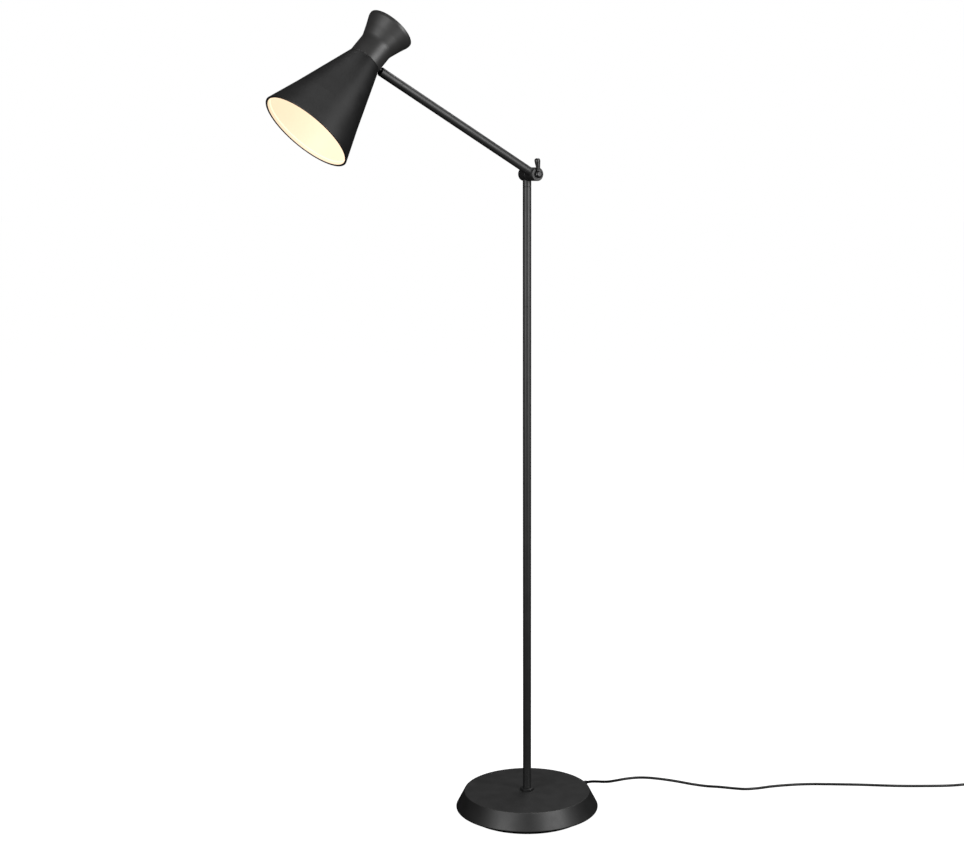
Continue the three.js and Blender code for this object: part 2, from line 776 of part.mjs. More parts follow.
function plugPieces() {
  const { back, sleeve, body, halfWidth, thickness, height } = PLUG;
  const bodyBack = back - sleeve;
  const face = bodyBack - body;
  const outline = new THREE.Shape();
  outline.moveTo(bodyBack, -8);
  outline.lineTo(bodyBack, 8);
  outline.lineTo(bodyBack - 13, halfWidth);
  outline.lineTo(face, halfWidth);
  outline.lineTo(face, -halfWidth);
  outline.lineTo(bodyBack - 13, -halfWidth);
  outline.closePath();
  const shell = new THREE.ExtrudeGeometry(outline, { depth: thickness, bevelEnabled: false });
  shell.translate(0, 0, height - thickness / 2);
  const boot = turned([[0, back], [3.3, back], [5, bodyBack - 1], [0, bodyBack - 1]], 16);
  boot.rotateY(Math.PI / 2).translate(0, 0, height);
  const tip = face - PIN.length;
  const pins = [-1, 1].map((side, i) => {
    const pin = turned([
      [0, tip],
      [PIN.radius - 0.8, tip],
      [PIN.radius, tip + 1],
      [PIN.radius, face - GAP],
      [0, face - GAP],
    ]);
    pin.rotateY(Math.PI / 2).translate(0, (side * PIN.spacing) / 2, height);
    return part(`plug_pin_${i + 1}`, pin, ZINC_STEEL);
  });
  const pieces = group(part('plug_body', join(shell, boot), BLACK_PLASTIC), ...pins);
  pieces.position.y = PLUG_LINE;
  return pieces;
}

function cordPieces() {
  const run = tubeAlong(CORD_ROUTE, CORD_RADIUS, 10, 62);
  const cordEnd = group(
    part('cord_switch_to_coil', tubeAlong(SWITCH_TO_COIL, CORD_RADIUS, 10, 6), BLACK_RUBBER),
    ...coilPieces(),
    part('cord_coil_to_plug', tubeAlong(COIL_TO_PLUG, CORD_RADIUS, 10, 3), BLACK_RUBBER),
    switchPieces(),
    plugPieces(),
  );
  cordEnd.position.set(COIL.x, COIL.y, 0);
  cordEnd.rotation.z = radians(COIL.turn);
  return [part('cord_run', run, BLACK_RUBBER), cordEnd];
}

export default group(
  ...basePieces(),
  glandPieces(),
  ...polePieces(),
  ...innerLeads(),
  pivotPieces(),
  armPieces(),
  shadePieces(),
  ...cordPieces(),
);
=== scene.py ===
"""Adjustable-arm floor lamp: the fine surfaces, materials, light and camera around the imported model.

Places are in metres in the model's own frame, +Z up, with the arm pointing to -X. Profiles of
small pieces are written in millimetres, and the helpers that take them turn them into metres.
"""

import json
import math

import bmesh
import bpy
import numpy as np
from mathutils import Matrix, Vector


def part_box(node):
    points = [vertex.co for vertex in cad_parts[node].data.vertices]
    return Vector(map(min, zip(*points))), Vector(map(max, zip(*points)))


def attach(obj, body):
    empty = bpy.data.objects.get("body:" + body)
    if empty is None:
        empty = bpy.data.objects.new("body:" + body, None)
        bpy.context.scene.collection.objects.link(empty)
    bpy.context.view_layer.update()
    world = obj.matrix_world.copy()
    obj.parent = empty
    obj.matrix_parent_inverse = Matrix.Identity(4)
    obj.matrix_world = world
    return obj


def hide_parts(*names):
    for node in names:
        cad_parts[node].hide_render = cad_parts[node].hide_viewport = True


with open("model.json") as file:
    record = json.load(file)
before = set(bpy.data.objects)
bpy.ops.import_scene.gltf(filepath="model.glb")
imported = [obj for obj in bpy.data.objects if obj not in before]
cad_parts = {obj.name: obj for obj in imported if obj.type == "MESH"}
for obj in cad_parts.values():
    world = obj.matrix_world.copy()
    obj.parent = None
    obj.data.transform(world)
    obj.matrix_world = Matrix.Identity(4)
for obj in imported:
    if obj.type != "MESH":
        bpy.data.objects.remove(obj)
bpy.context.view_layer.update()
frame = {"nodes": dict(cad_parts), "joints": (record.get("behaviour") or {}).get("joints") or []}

MM = 0.001
GAP = 0.3  # millimetres between pieces that touch
JOINTS = {joint["name"]: joint for joint in frame["joints"]}


# Sizes, in millimetres --------------------------------------------------------------------

RIM_RADIUS = 139.8
RIM_HEIGHT = 12.6
RIM_ROUND = 3.5
TOP_RADIUS = 123.0
TOP_HEIGHT = 43.4
BASE_SHEET = 1.5
BORE = 5.4
FOOT_RADIUS = 119.5
POLE_RADIUS = 8.0
POLE_WALL = 1.2
COLLAR_NUT_HEIGHT = 4.6
COLLAR_NUT_FLATS = 24.0
COLLAR_NUT_TURN = math.radians(-34)
POLE_TOP = 1215.0

KNUCKLE_RADIUS = 12.5
KNUCKLE_EDGE = 0.9
POLE_KNUCKLE = (-11.8, 10.4)  # along the pin's axis, back and front
ARM_KNUCKLE = (11.6, 32.5)
BOLT_RADIUS = 3.0
CLAMP_FACE = 35.6
ARM_STUB = (4.0, 22.0)  # along the arm, from the pivot's axis
BALL_BACK = 41.6  # from the shade's axis to the ball's centre, along the arm
BALL_RADIUS = 5.6
SLEEVE_START = 320.3
SLEEVE_TIP = 365.0

SHEET = 0.8
MOUTH_RADIUS = 83.7
SEAM_RADIUS = 29.8
CONE_LENGTH = 167.5
COLLAR_HEIGHT = 24.0
SKIN = 0.5  # the sheet's black outside, and the rest of it is the white inside
HEM_WIDTH = 7.0
STUD_HOLE_RADIUS = 3.6
NECK_HEIGHT = 77.0
NECK_WAIST = 34.5
NECK_RIM = 43.4
BULB_RADIUS = 30.0
BULB_MIDDLE = -66.0  # below the seam between the cone and the neck

SWITCH_BASE = (0.3, 6.35)  # the heights of its underside and its top
SWITCH_COVER = (6.65, 14.0)
ROCKER_HEIGHT = 13.0
PLUG_FACE = -88.0  # from the plug's place, along the cord
PIN_TIP = -107.0
PIN_SPACING = 18.6


# Camera -----------------------------------------------------------------------------------

CAMERA_TURN = math.radians(-34.07)  # from looking along +Y, towards +X
CAMERA_DISTANCE = 3.1906
CAMERA_HEIGHT = 1.2518
CAMERA_PITCH = math.radians(8.94)
CAMERA_LENS = 63.5
CAMERA_SHIFT = (-0.0467, 0.0003)


def make_camera():
    data = bpy.data.cameras.new("camera")
    data.sensor_width = 36
    data.lens = CAMERA_LENS
    data.shift_x, data.shift_y = CAMERA_SHIFT
    camera = bpy.data.objects.new("camera", data)
    bpy.context.scene.collection.objects.link(camera)
    camera.location = (
        CAMERA_DISTANCE * math.sin(CAMERA_TURN),
        -CAMERA_DISTANCE * math.cos(CAMERA_TURN),
        CAMERA_HEIGHT,
    )
    camera.rotation_euler = (math.pi / 2 - CAMERA_PITCH, 0, CAMERA_TURN)
    bpy.context.scene.camera = camera


# Cord -------------------------------------------------------------------------------------

CORD_RADIUS = 0.0026
CORD_FLOOR = 0.0029  # the height of its middle where it lies on the floor
SWITCH_SEAM = 0.0065
CORD_ROUTE = [
    (0.1616, 0.0227, 0.0179),
    (0.176, 0.0247, 0.0156),
    (0.192, 0.0267, 0.0116),
    (0.208, 0.0286, 0.0072),
    (0.224, 0.0298, 0.004),
    (0.242, 0.029, CORD_FLOOR),
    (0.263, 0.026, CORD_FLOOR),
    (0.285, 0.019, CORD_FLOOR),
    (0.303, 0.007, CORD_FLOOR),
    (0.32, -0.012, CORD_FLOOR),
    (0.34, -0.042, CORD_FLOOR),
    (0.357, -0.074, CORD_FLOOR),
    (0.374, -0.099, CORD_FLOOR),
    (0.394, -0.119, CORD_FLOOR),
    (0.411, -0.139, CORD_FLOOR),
    (0.428, -0.156, CORD_FLOOR),
    (0.451, -0.167, CORD_FLOOR),
    (0.484, -0.176, CORD_FLOOR),
    (0.522, -0.191, CORD_FLOOR),
    (0.556, -0.209, CORD_FLOOR),
    (0.588, -0.231, CORD_FLOOR),
    (0.64, -0.27, CORD_FLOOR),
    (0.698, -0.317, CORD_FLOOR),
    (0.752, -0.354, CORD_FLOOR),
    (0.788, -0.377, 0.0033),
    (0.8232, -0.4, 0.0063),
    (0.834, -0.4072, SWITCH_SEAM),
]

# The cord's end has its own axes: +X runs on along the cord, and the coil's centre is at zero.
CORD_END = Matrix.Translation((0.8917, -0.488, 0)) @ Matrix.Rotation(math.radians(-34), 4, "Z")
SWITCH_LINE = 0.0347
PLUG_LINE = -0.0321
SWITCH_TO_COIL = [
    (-0.047, SWITCH_LINE, SWITCH_SEAM),
    (-0.04, SWITCH_LINE, SWITCH_SEAM),
    (-0.033, SWITCH_LINE, 0.0054),
    (-0.026, SWITCH_LINE, 0.0037),
    (-0.0203, SWITCH_LINE, 0.003),
    (-0.01, SWITCH_LINE, CORD_FLOOR),
]
COIL_TO_PLUG = [
    (-0.01, PLUG_LINE, 0.0082),
    (-0.018, PLUG_LINE, 0.0082),
    (-0.0243, PLUG_LINE, 0.0082),
    (-0.029, PLUG_LINE, 0.0078),
    (-0.0357, PLUG_LINE, 0.0071),
]

# The coil's lay: after so many turns, the turn's radius and the height of its middle.
TURN = 2 * CORD_RADIUS
OUTER_TURN = SWITCH_LINE
NESTED = 0.0075
OVER = 0.0082
COIL_LAY = [
    (0, OUTER_TURN, CORD_FLOOR),
    (0.74, OUTER_TURN, CORD_FLOOR),
    (1, OUTER_TURN - TURN, CORD_FLOOR),
    (1.74, OUTER_TURN - TURN, CORD_FLOOR),
    (2, OUTER_TURN - 2 * TURN, CORD_FLOOR),
    (2.45, OUTER_TURN - 2 * TURN, CORD_FLOOR),
    (2.74, OUTER_TURN - 1.5 * TURN, NESTED),
    (2.87, OUTER_TURN - 1.5 * TURN, OVER),
    (3, OUTER_TURN - 1.5 * TURN, NESTED),
    (3.48, OUTER_TURN - 1.5 * TURN, NESTED),
    (3.61, OUTER_TURN - TURN, OVER),
    (3.74, OUTER_TURN - 0.5 * TURN, NESTED),
    (3.87, OUTER_TURN - 0.5 * TURN, OVER),
    (4, OUTER_TURN - 0.5 * TURN, NESTED),
    (4.3, OUTER_TURN - 0.5 * TURN, NESTED),
    (4.5, OUTER_TURN - 0.5 * TURN, OVER),
]
STEPS_PER_TURN = 36


def coil_points():
    """The coiled length in the cord end's axes, turning clockwise from the side of the switch."""
    turns, radii, heights = (np.array(column) for column in zip(*COIL_LAY))
    points = []
    for step in range(1, int(turns[-1] * STEPS_PER_TURN) + 1):
        turn = step / STEPS_PER_TURN
        k = min(int(np.searchsorted(turns, turn, side="right")) - 1, len(turns) - 2)
        share = (turn - turns[k]) / (turns[k + 1] - turns[k])
        eased = 0.5 - 0.5 * math.cos(math.pi * min(share, 1))
        radius = radii[k] + (radii[k + 1] - radii[k]) * eased
        height = heights[k] + (heights[k + 1] - heights[k]) * eased
        angle = math.pi / 2 - 2 * math.pi * turn
        points.append((radius * math.cos(angle), radius * math.sin(angle), height))
    return points


def smooth_path(points, spacing=0.002):
    """Close points on a centripetal Catmull-Rom curve through the given ones."""
    knots = [Vector(p) for p in points]
    first = 2 * knots[0] - knots[1]
    last = 2 * knots[-1] - knots[-2]
    knots = [first, *knots, last]
    path = []
    for a, b, c, d in zip(knots, knots[1:], knots[2:], knots[3:]):
        t = [0.0]
        for p, q in ((a, b), (b, c), (c, d)):
            t.append(t[-1] + math.sqrt((q - p).length))
        steps = max(2, round((c - b).length / spacing))
        for step in range(steps):
            u = t[1] + (t[2] - t[1]) * step / steps
            a1 = a.lerp(b, (u - t[0]) / (t[1] - t[0]))
            a2 = b.lerp(c, (u - t[1]) / (t[2] - t[1]))
            a3 = c.lerp(d, (u - t[2]) / (t[3] - t[2]))
            b1 = a1.lerp(a2, (u - t[0]) / (t[2] - t[0]))
            b2 = a2.lerp(a3, (u - t[1]) / (t[3] - t[1]))
            path.append(b1.lerp(b2, (u - t[1]) / (t[2] - t[1])))
    path.append(knots[-2])
    return path


def make_cord():
    """The whole flexible lead as one round curve, from the strain relief to the plug."""
    end_points = [*SWITCH_TO_COIL, *coil_points(), *COIL_TO_PLUG]
    route = [*(Vector(p) for p in CORD_ROUTE), *(CORD_END @ Vector(p) for p in end_points)]
    path = smooth_path(route)
    data = bpy.data.curves.new("mains_cord", "CURVE")
    data.dimensions = "3D"
    data.bevel_depth = CORD_RADIUS
    data.bevel_resolution = 6
    data.use_fill_caps = True
    spline = data.splines.new("POLY")
    spline.points.add(len(path) - 1)
    for point, place in zip(spline.points, path):
        point.co = (*place, 1)
    cord = bpy.data.objects.new("mains_cord", data)
    bpy.context.scene.collection.objects.link(cord)
    return cord


# Mesh helpers -----------------------------------------------------------------------------


def rounded(corners, loop, steps=6):
    """The points of a profile whose corners are (across, along, rounding radius)."""
    count = len(corners)
    points = []
    for i, (x, y, radius) in enumerate(corners):
        corner = Vector((x, y))
        if radius == 0 or (not loop and i in (0, count - 1)):
            points.append(corner)
            continue
        before = Vector(corners[i - 1][:2]) - corner
        after = Vector(corners[(i + 1) % count][:2]) - corner
        opening = before.angle(after)
        reach = radius / math.tan(opening / 2)
        reach = min(reach, 0.49 * before.length, 0.49 * after.length)
        start = corner + before.normalized() * reach
        end = corner + after.normalized() * reach
        middle = corner + (before.normalized() + after.normalized()).normalized() * (
            reach / math.cos(opening / 2)
        )
        sweep = math.pi - opening
        for step in range(steps + 1):
            share = step / steps
            a = math.sin((1 - share) * sweep) / math.sin(sweep)
            b = math.sin(share * sweep) / math.sin(sweep)
            points.append(middle + (start - middle) * a + (end - middle) * b)
    return points


def supported(profile, loop, reach=0.5):
    """The profile with points near the ends of its long runs, which keep their shading straight."""
    points = []
    following = profile[1:] + (profile[:1] if loop else [])
    for here, there in zip(profile, following):
        points.append(here)
        length = (there - here).length
        if length > 4 * reach:
            points += [here.lerp(there, reach / length), there.lerp(here, reach / length)]
    return points if loop else [*points, profile[-1]]


def smooth(mesh, sharp=35):
    """Shades the mesh smooth but for edges sharper than the angle in degrees."""
    for polygon in mesh.polygons:
        polygon.use_smooth = True
    mesh.set_sharp_from_angle(angle=math.radians(sharp))


def finished(name, bm, place):
    """Turns a bmesh in millimetres into an object in place, its faces pointing out."""
    bmesh.ops.remove_doubles(bm, verts=bm.verts, dist=1e-5)
    bmesh.ops.recalc_face_normals(bm, faces=bm.faces)
    mesh = bpy.data.meshes.new(name)
    bm.to_mesh(mesh)
    bm.free()
    mesh.transform(place @ Matrix.Scale(MM, 4))
    made = bpy.data.objects.new(name, mesh)
    bpy.context.scene.collection.objects.link(made)
    smooth(mesh)
    return made


def turned(name, corners, place=Matrix.Identity(4), segments=128):
    """A solid turned about the local Z axis from (radius, height, rounding) in millimetres."""
    loop = corners[0][0] > 0
    profile = supported(rounded(corners, loop), loop)
    bm = bmesh.new()
    rings = []
    for radius, height in profile:
        if radius < 1e-6:
            rings.append([bm.verts.new((0, 0, height))] * segments)
            continue
        angles = (2 * math.pi * k / segments for k in range(segments))
        rings.append(
            [bm.verts.new((radius * math.cos(a), radius * math.sin(a), height)) for a in angles]
        )
    pairs = list(zip(rings, rings[1:])) + ([(rings[-1], rings[0])] if loop else [])
    for low, high in pairs:
        for k in range(segments):
            m = (k + 1) % segments
            corners_used = list(dict.fromkeys([low[k], low[m], high[m], high[k]]))
            if len(corners_used) > 2:
                bm.faces.new(corners_used)
    return finished(name, bm, place)


def rod(radius, low, high, place=Matrix.Identity(4), segments=64):
    """A plain cylinder from low to high, which is cut out of a piece."""
    corners = [(0, low, 0), (radius, low, 0), (radius, high, 0), (0, high, 0)]
    return turned("rod", corners, place, segments)


def slab(name, outline, low, high, place=Matrix.Identity(4), edge=1.0, loops=4, holes=()):
    """A plate of the outline's (x, y, rounding) from low to high in millimetres, edges rounded."""
    curve = bpy.data.curves.new(name, "CURVE")
    curve.dimensions = "2D"
    curve.fill_mode = "BOTH"
    curve.extrude = (high - low) / 2 - edge
    curve.bevel_depth = edge
    curve.bevel_resolution = loops
    curve.offset = -edge
    for ring in (outline, *holes):
        points = rounded(ring, True)
        spline = curve.splines.new("POLY")
        spline.use_cyclic_u = True
        spline.points.add(len(points) - 1)
        for point, at in zip(spline.points, points):
            point.co = (*at, 0, 1)
    holder = bpy.data.objects.new(name, curve)
    mesh = bpy.data.meshes.new_from_object(holder)
    bpy.data.objects.remove(holder)
    bm = bmesh.new()
    bm.from_mesh(mesh)
    bmesh.ops.translate(bm, verts=bm.verts, vec=(0, 0, (low + high) / 2))
    return finished(name, bm, place)


def remove(*objects):
    for gone in objects:
        bpy.data.objects.remove(gone)


def bake(piece, sharp=35):
    """Makes the modifiers' result the piece's own mesh."""
    graph = bpy.context.evaluated_depsgraph_get()
    mesh = bpy.data.meshes.new_from_object(piece.evaluated_get(graph))
    piece.modifiers.clear()
    piece.data = mesh
    smooth(mesh, sharp)
    return piece


def combine(piece, operation, *tools):
    """Joins the tools to the piece, cuts them out of it or keeps what they share."""
    for tool in tools:
        step = piece.modifiers.new(operation, "BOOLEAN")
        step.operation = operation
        step.solver = "EXACT"
        step.object = tool
        bake(piece)
    remove(*tools)
    return piece


def weld(piece, cell, passes):
    """Melts a joined piece's edges and corners together, as paint and weld do. cell is in metres."""
    grid = piece.modifiers.new("grid", "REMESH")
    grid.mode = "VOXEL"
    grid.voxel_size = cell
    ease = piece.modifiers.new("ease", "SMOOTH")
    ease.iterations = passes
    return bake(piece, 60)


# Places -----------------------------------------------------------------------------------


def axes_at(origin, along, side=Vector((0, 1, 0))):
    """Local axes at a point: +Z along the given direction and +Y along the side."""
    across = side.cross(along).normalized()
    turn = Matrix((across, side, along)).transposed().to_4x4()
    return Matrix.Translation(origin) @ turn


PIVOT = Vector(JOINTS["arm_pivot"]["pos_m"])
BALL = Vector(JOINTS["shade_tilt"]["pos_m"])
ARM_AXIS = Vector(JOINTS["sleeve_swivel"]["axis"]).normalized()
STUD_AXIS = Vector(JOINTS["shade_turn"]["axis"]).normalized()
STUD_LEAN = STUD_AXIS.angle(-ARM_AXIS)
STUD_HEIGHT = BALL_BACK * math.sin(STUD_LEAN)
STUD_REACH = BALL_BACK * math.cos(STUD_LEAN)

ARM = axes_at(PIVOT, ARM_AXIS)
SHADE_AXIS = STUD_AXIS.cross(Vector((0, 1, 0)))
SHADE = axes_at(BALL + BALL_BACK * MM * ARM_AXIS, SHADE_AXIS)
STUD = SHADE @ Matrix.Translation((0, 0, STUD_HEIGHT * MM)) @ Matrix.Rotation(math.pi / 2, 4, "Y")
# About the pivot's axis: local +Z is the world's -Y, towards the clamp lever.
PIN = Matrix.Translation((0, 0, PIVOT.z)) @ Matrix.Rotation(math.pi / 2, 4, "X")
GLAND_HEIGHT = 0.018
GLAND_TURN = math.radians(8)
GLAND = (
    Matrix.Rotation(GLAND_TURN, 4, "Z")
    @ Matrix.Translation((0, 0, GLAND_HEIGHT))
    @ Matrix.Rotation(math.pi / 2, 4, "Y")
)


# Materials --------------------------------------------------------------------------------

BULB_GLOW = 2.5
# Painted light: the lining's own glow stands in for the bulb's light falling on it; it is no lamp.
LINING_PAINTED_GLOW = 0.95
# Painted highlight: the hem's fold glows brighter than the rest of the lining.
HEM_PAINTED_HIGHLIGHT_GLOW = 1.35  # the fold nearest the bulb


class Surface:
    """A principled material that is built up a layer at a time in the piece's own coordinates."""

    def __init__(self, name, roughness, metallic=0.0, specular=0.5):
        self.material = bpy.data.materials.new(name)
        self.material.use_nodes = True
        self.tree = self.material.node_tree
        self.shader = self.tree.nodes["Principled BSDF"]
        self.place = self.tree.nodes.new("ShaderNodeTexCoord").outputs["Object"]
        self.normal = None
        self.set(Roughness=roughness, Metallic=metallic, **{"Specular IOR Level": specular})

    def set(self, **values):
        for socket, value in values.items():
            self.shader.inputs[socket].default_value = value
        return self

    def noise(self, size, detail=3.0, stretch=None):
        """Noise whose lumps are about size millimetres across, stretched along an axis."""
        texture = self.tree.nodes.new("ShaderNodeTexNoise")
        texture.inputs["Scale"].default_value = 1 / (size * MM)
        texture.inputs["Detail"].default_value = detail
        source = self.place
        if stretch:
            mapping = self.tree.nodes.new("ShaderNodeMapping")
            mapping.inputs["Scale"].default_value = stretch
            self.tree.links.new(source, mapping.inputs["Vector"])
            source = mapping.outputs["Vector"]
        self.tree.links.new(source, texture.inputs["Vector"])
        return texture.outputs["Fac"]

    def tint(self, dark, light, size, detail=3.0, stretch=None):
        """Colour that drifts between two tones."""
        ramp = self.tree.nodes.new("ShaderNodeValToRGB")
        ramp.color_ramp.elements[0].position = 0.3
        ramp.color_ramp.elements[1].position = 0.7
        ramp.color_ramp.elements[0].color = (*dark, 1)
        ramp.color_ramp.elements[1].color = (*light, 1)
        self.tree.links.new(self.noise(size, detail, stretch), ramp.inputs["Fac"])
        self.tree.links.new(ramp.outputs["Color"], self.shader.inputs["Base Color"])
        return self

    def glow(self, colour, strength):
        """Light of its own, found only by the rays that happen to meet it."""
        self.set(**{"Emission Color": (*colour, 1), "Emission Strength": strength})
        self.material.cycles.emission_sampling = "NONE"
        return self

    def sheen_spread(self, low, high, size, stretch=None):
        """Roughness that varies from place to place."""
        spread = self.tree.nodes.new("ShaderNodeMapRange")
        spread.inputs["From Min"].default_value = 0.3
        spread.inputs["From Max"].default_value = 0.7
        spread.inputs["To Min"].default_value = low
        spread.inputs["To Max"].default_value = high
        self.tree.links.new(self.noise(size, 3, stretch), spread.inputs["Value"])
        self.tree.links.new(spread.outputs["Result"], self.shader.inputs["Roughness"])
        return self

    def bump(self, size, height, detail=2.0, stretch=None):
        """Relief of lumps of that size and height in millimetres, on top of the last one."""
        node = self.tree.nodes.new("ShaderNodeBump")
        node.inputs["Strength"].default_value = 1
        node.inputs["Distance"].default_value = height * MM
        self.tree.links.new(self.noise(size, detail, stretch), node.inputs["Height"])
        if self.normal:
            self.tree.links.new(self.normal, node.inputs["Normal"])
        self.normal = node.outputs["Normal"]
        self.tree.links.new(self.normal, self.shader.inputs["Normal"])
        return self


def powder_coat(name, tone, specular):
    """Matte black powder coat: a fine grain over a slow orange peel."""
    coat = Surface(name, 0.5, specular=specular)
    coat.tint((tone, tone, tone), (1.25 * tone, 1.25 * tone, 1.27 * tone), 40)
    coat.sheen_spread(0.45, 0.52, 25)
    return coat.bump(5, 0.004).bump(1.2, 0.0015).material


def handle_enamel():
    """The handle's deep black, glossier than the powder coat."""
    enamel = Surface("handle_enamel", 0.36, specular=0.9)
    enamel.tint((0.005, 0.005, 0.005), (0.008, 0.008, 0.008), 20)
    enamel.sheen_spread(0.33, 0.4, 15)
    return enamel.bump(4, 0.004).material


def neck_coat():
    """The neck's slightly smoother satin black, with its tone painted lighter than the pole's coat:
    painted light on the neck.
    """
    coat = Surface("neck_satin_black_painted_lighter", 0.45, specular=0.8)
    coat.tint((0.033, 0.0325, 0.032), (0.042, 0.0415, 0.041), 35)
    coat.sheen_spread(0.42, 0.49, 20)
    return coat.bump(6, 0.004).bump(1.2, 0.0015).material


def enamel_with_painted_glow(name, glow):
    """The warm white paint inside the shade, kept dark, with painted light: its own amber glow stands in
    for the bulb's light on it.
    """
    enamel = Surface(name, 0.5, specular=0.4)
    enamel.tint((0.22, 0.17, 0.145), (0.24, 0.19, 0.165), 30)
    enamel.sheen_spread(0.45, 0.55, 15)
    # Painted light: the enamel glows amber as if lit by the bulb.
    enamel.glow((1.0, 0.78, 0.54), glow)
    return enamel.bump(8, 0.004).material


def opal_glass():
    """The bulb's frosted opal glass, lit from inside."""
    glass = Surface("opal_glass", 0.35, specular=0.4)
    glass.tint((0.93, 0.9, 0.84), (0.97, 0.94, 0.88), 25)
    glass.glow((1.0, 0.83, 0.6), BULB_GLOW)
    return glass.bump(0.5, 0.004).material


def zinc_plate():
    """Zinc-plated steel, dulled in patches."""
    zinc = Surface("zinc_plate", 0.32, metallic=1)
    zinc.tint((0.5, 0.51, 0.53), (0.62, 0.62, 0.63), 4)
    zinc.sheen_spread(0.24, 0.4, 3)
    return zinc.bump(0.4, 0.004).material


def blackened_steel():
    """Blackened steel with a low oiled gloss."""
    steel = Surface("blackened_steel", 0.38, metallic=0.6)
    steel.tint((0.02, 0.02, 0.021), (0.035, 0.035, 0.036), 3)
    steel.sheen_spread(0.32, 0.46, 4)
    return steel.bump(0.5, 0.006).material


def nickel_plate():
    """Bright nickel on the plug's pins, with fine turning marks."""
    nickel = Surface("nickel_plate", 0.18, metallic=1)
    nickel.tint((0.66, 0.64, 0.6), (0.74, 0.72, 0.68), 5)
    nickel.sheen_spread(0.14, 0.26, 2)
    return nickel.bump(0.3, 0.003).material


def turned_brass():
    """Brass of the lampholder's contact and the arm's bush."""
    brass = Surface("turned_brass", 0.3, metallic=1)
    brass.tint((0.55, 0.38, 0.13), (0.66, 0.48, 0.2), 4)
    brass.sheen_spread(0.22, 0.36, 2)
    return brass.bump(0.3, 0.004).material


def bulb_metal():
    """The bulb's pressed aluminium screw cap."""
    metal = Surface("bulb_aluminium", 0.3, metallic=1)
    metal.tint((0.66, 0.66, 0.67), (0.76, 0.76, 0.77), 5)
    metal.sheen_spread(0.22, 0.38, 3)
    return metal.bump(0.4, 0.004).material


def cast_iron():
    """The rough, dark casting of the base's weight."""
    iron = Surface("cast_iron", 0.75, metallic=0.3)
    iron.tint((0.03, 0.03, 0.032), (0.06, 0.058, 0.056), 6)
    iron.sheen_spread(0.65, 0.85, 4)
    return iron.bump(3, 0.15).bump(0.8, 0.08).material


def nylon():
    """Moulded nylon of the washer and the ball's cup."""
    plastic = Surface("dark_nylon", 0.45, specular=0.4)
    plastic.tint((0.03, 0.03, 0.031), (0.04, 0.04, 0.041), 5)
    return plastic.bump(0.6, 0.006).material


def moulded_plastic():
    """Fine spark-eroded texture of the switch, the plug and the strain relief."""
    plastic = Surface("moulded_black_plastic", 0.5, specular=0.45)
    plastic.tint((0.011, 0.011, 0.0115), (0.016, 0.016, 0.0165), 15)
    plastic.sheen_spread(0.44, 0.56, 8)
    return plastic.bump(0.35, 0.012).material


def cord_sheath():
    """The cord's flexible black sheath, slightly glossy, with faint drawing lines."""
    sheath = Surface("cord_sheath", 0.42, specular=0.45)
    sheath.tint((0.005, 0.005, 0.0052), (0.008, 0.008, 0.0083), 20)
    sheath.sheen_spread(0.3, 0.42, 12)
    return sheath.bump(1.5, 0.01).bump(0.4, 0.004).material


def foam_rubber():
    """The foot pad's black foam rubber with open pores."""
    foam = Surface("foam_rubber", 0.9, specular=0.25)
    foam.tint((0.008, 0.008, 0.008), (0.016, 0.016, 0.016), 2)
    return foam.bump(0.8, 0.15, 4).material


def glazed_ceramic():
    """The lampholder's glazed porcelain."""
    glaze = Surface("glazed_ceramic", 0.2, specular=0.5)
    glaze.tint((0.74, 0.71, 0.64), (0.82, 0.79, 0.73), 12)
    glaze.sheen_spread(0.15, 0.25, 8)
    return glaze.bump(5, 0.02).material


def lead_insulation():
    """Matte black insulation of the leads inside the lamp."""
    plastic = Surface("lead_insulation", 0.6, specular=0.4)
    plastic.tint((0.012, 0.012, 0.012), (0.018, 0.018, 0.018), 10)
    return plastic.bump(1, 0.01).material


# Pieces of the base -----------------------------------------------------------------------


def base_cover():
    """The pressed cover: a flat top, a straight bevel and a turned-in rim."""
    low = RIM_HEIGHT - RIM_ROUND + 1.1
    lean = math.atan2(RIM_RADIUS - TOP_RADIUS, TOP_HEIGHT - RIM_HEIGHT)
    foot = RIM_RADIUS + (RIM_HEIGHT - low) * math.tan(lean) * 0.42
    inner_lip = RIM_RADIUS - RIM_ROUND - 2.8
    cover = turned(
        "base_cover_shell",
        [
            (BORE, TOP_HEIGHT, 0.2),
            (TOP_RADIUS, TOP_HEIGHT, 1.4),
            (foot, low, RIM_ROUND),
            (inner_lip, low, 0.4),
            (inner_lip, low + BASE_SHEET, 0.3),
            (foot - 2.2 * BASE_SHEET, low + BASE_SHEET, 1.8),
            (TOP_RADIUS - 1.1 * BASE_SHEET, TOP_HEIGHT - BASE_SHEET, 0.8),
            (BORE, TOP_HEIGHT - BASE_SHEET, 0.2),
        ],
        segments=256,
    )
    return combine(cover, "DIFFERENCE", rod(5.9, 100, 160, GLAND, 48))


def foot_pad():
    return turned(
        "foot_pad_disc",
        [(0, 0, 0), (FOOT_RADIUS, 0, 0.7), (FOOT_RADIUS, 3, 0.5), (0, 3, 0)],
        segments=192,
    )


def base_plate():
    """The steel plate that closes the weight's underside."""
    return turned(
        "base_plate_disc",
        [(0, 3.3, 0), (FOOT_RADIUS, 3.3, 0.3), (FOOT_RADIUS, 4.8, 0.3), (0, 4.8, 0)],
        segments=192,
    )


def hexagon(across_flats, turn=0.0):
    corner = across_flats / math.sqrt(3)
    angles = [math.radians(60 * k) + turn for k in range(6)]
    return [(corner * math.cos(a), corner * math.sin(a), 0.6) for a in angles]


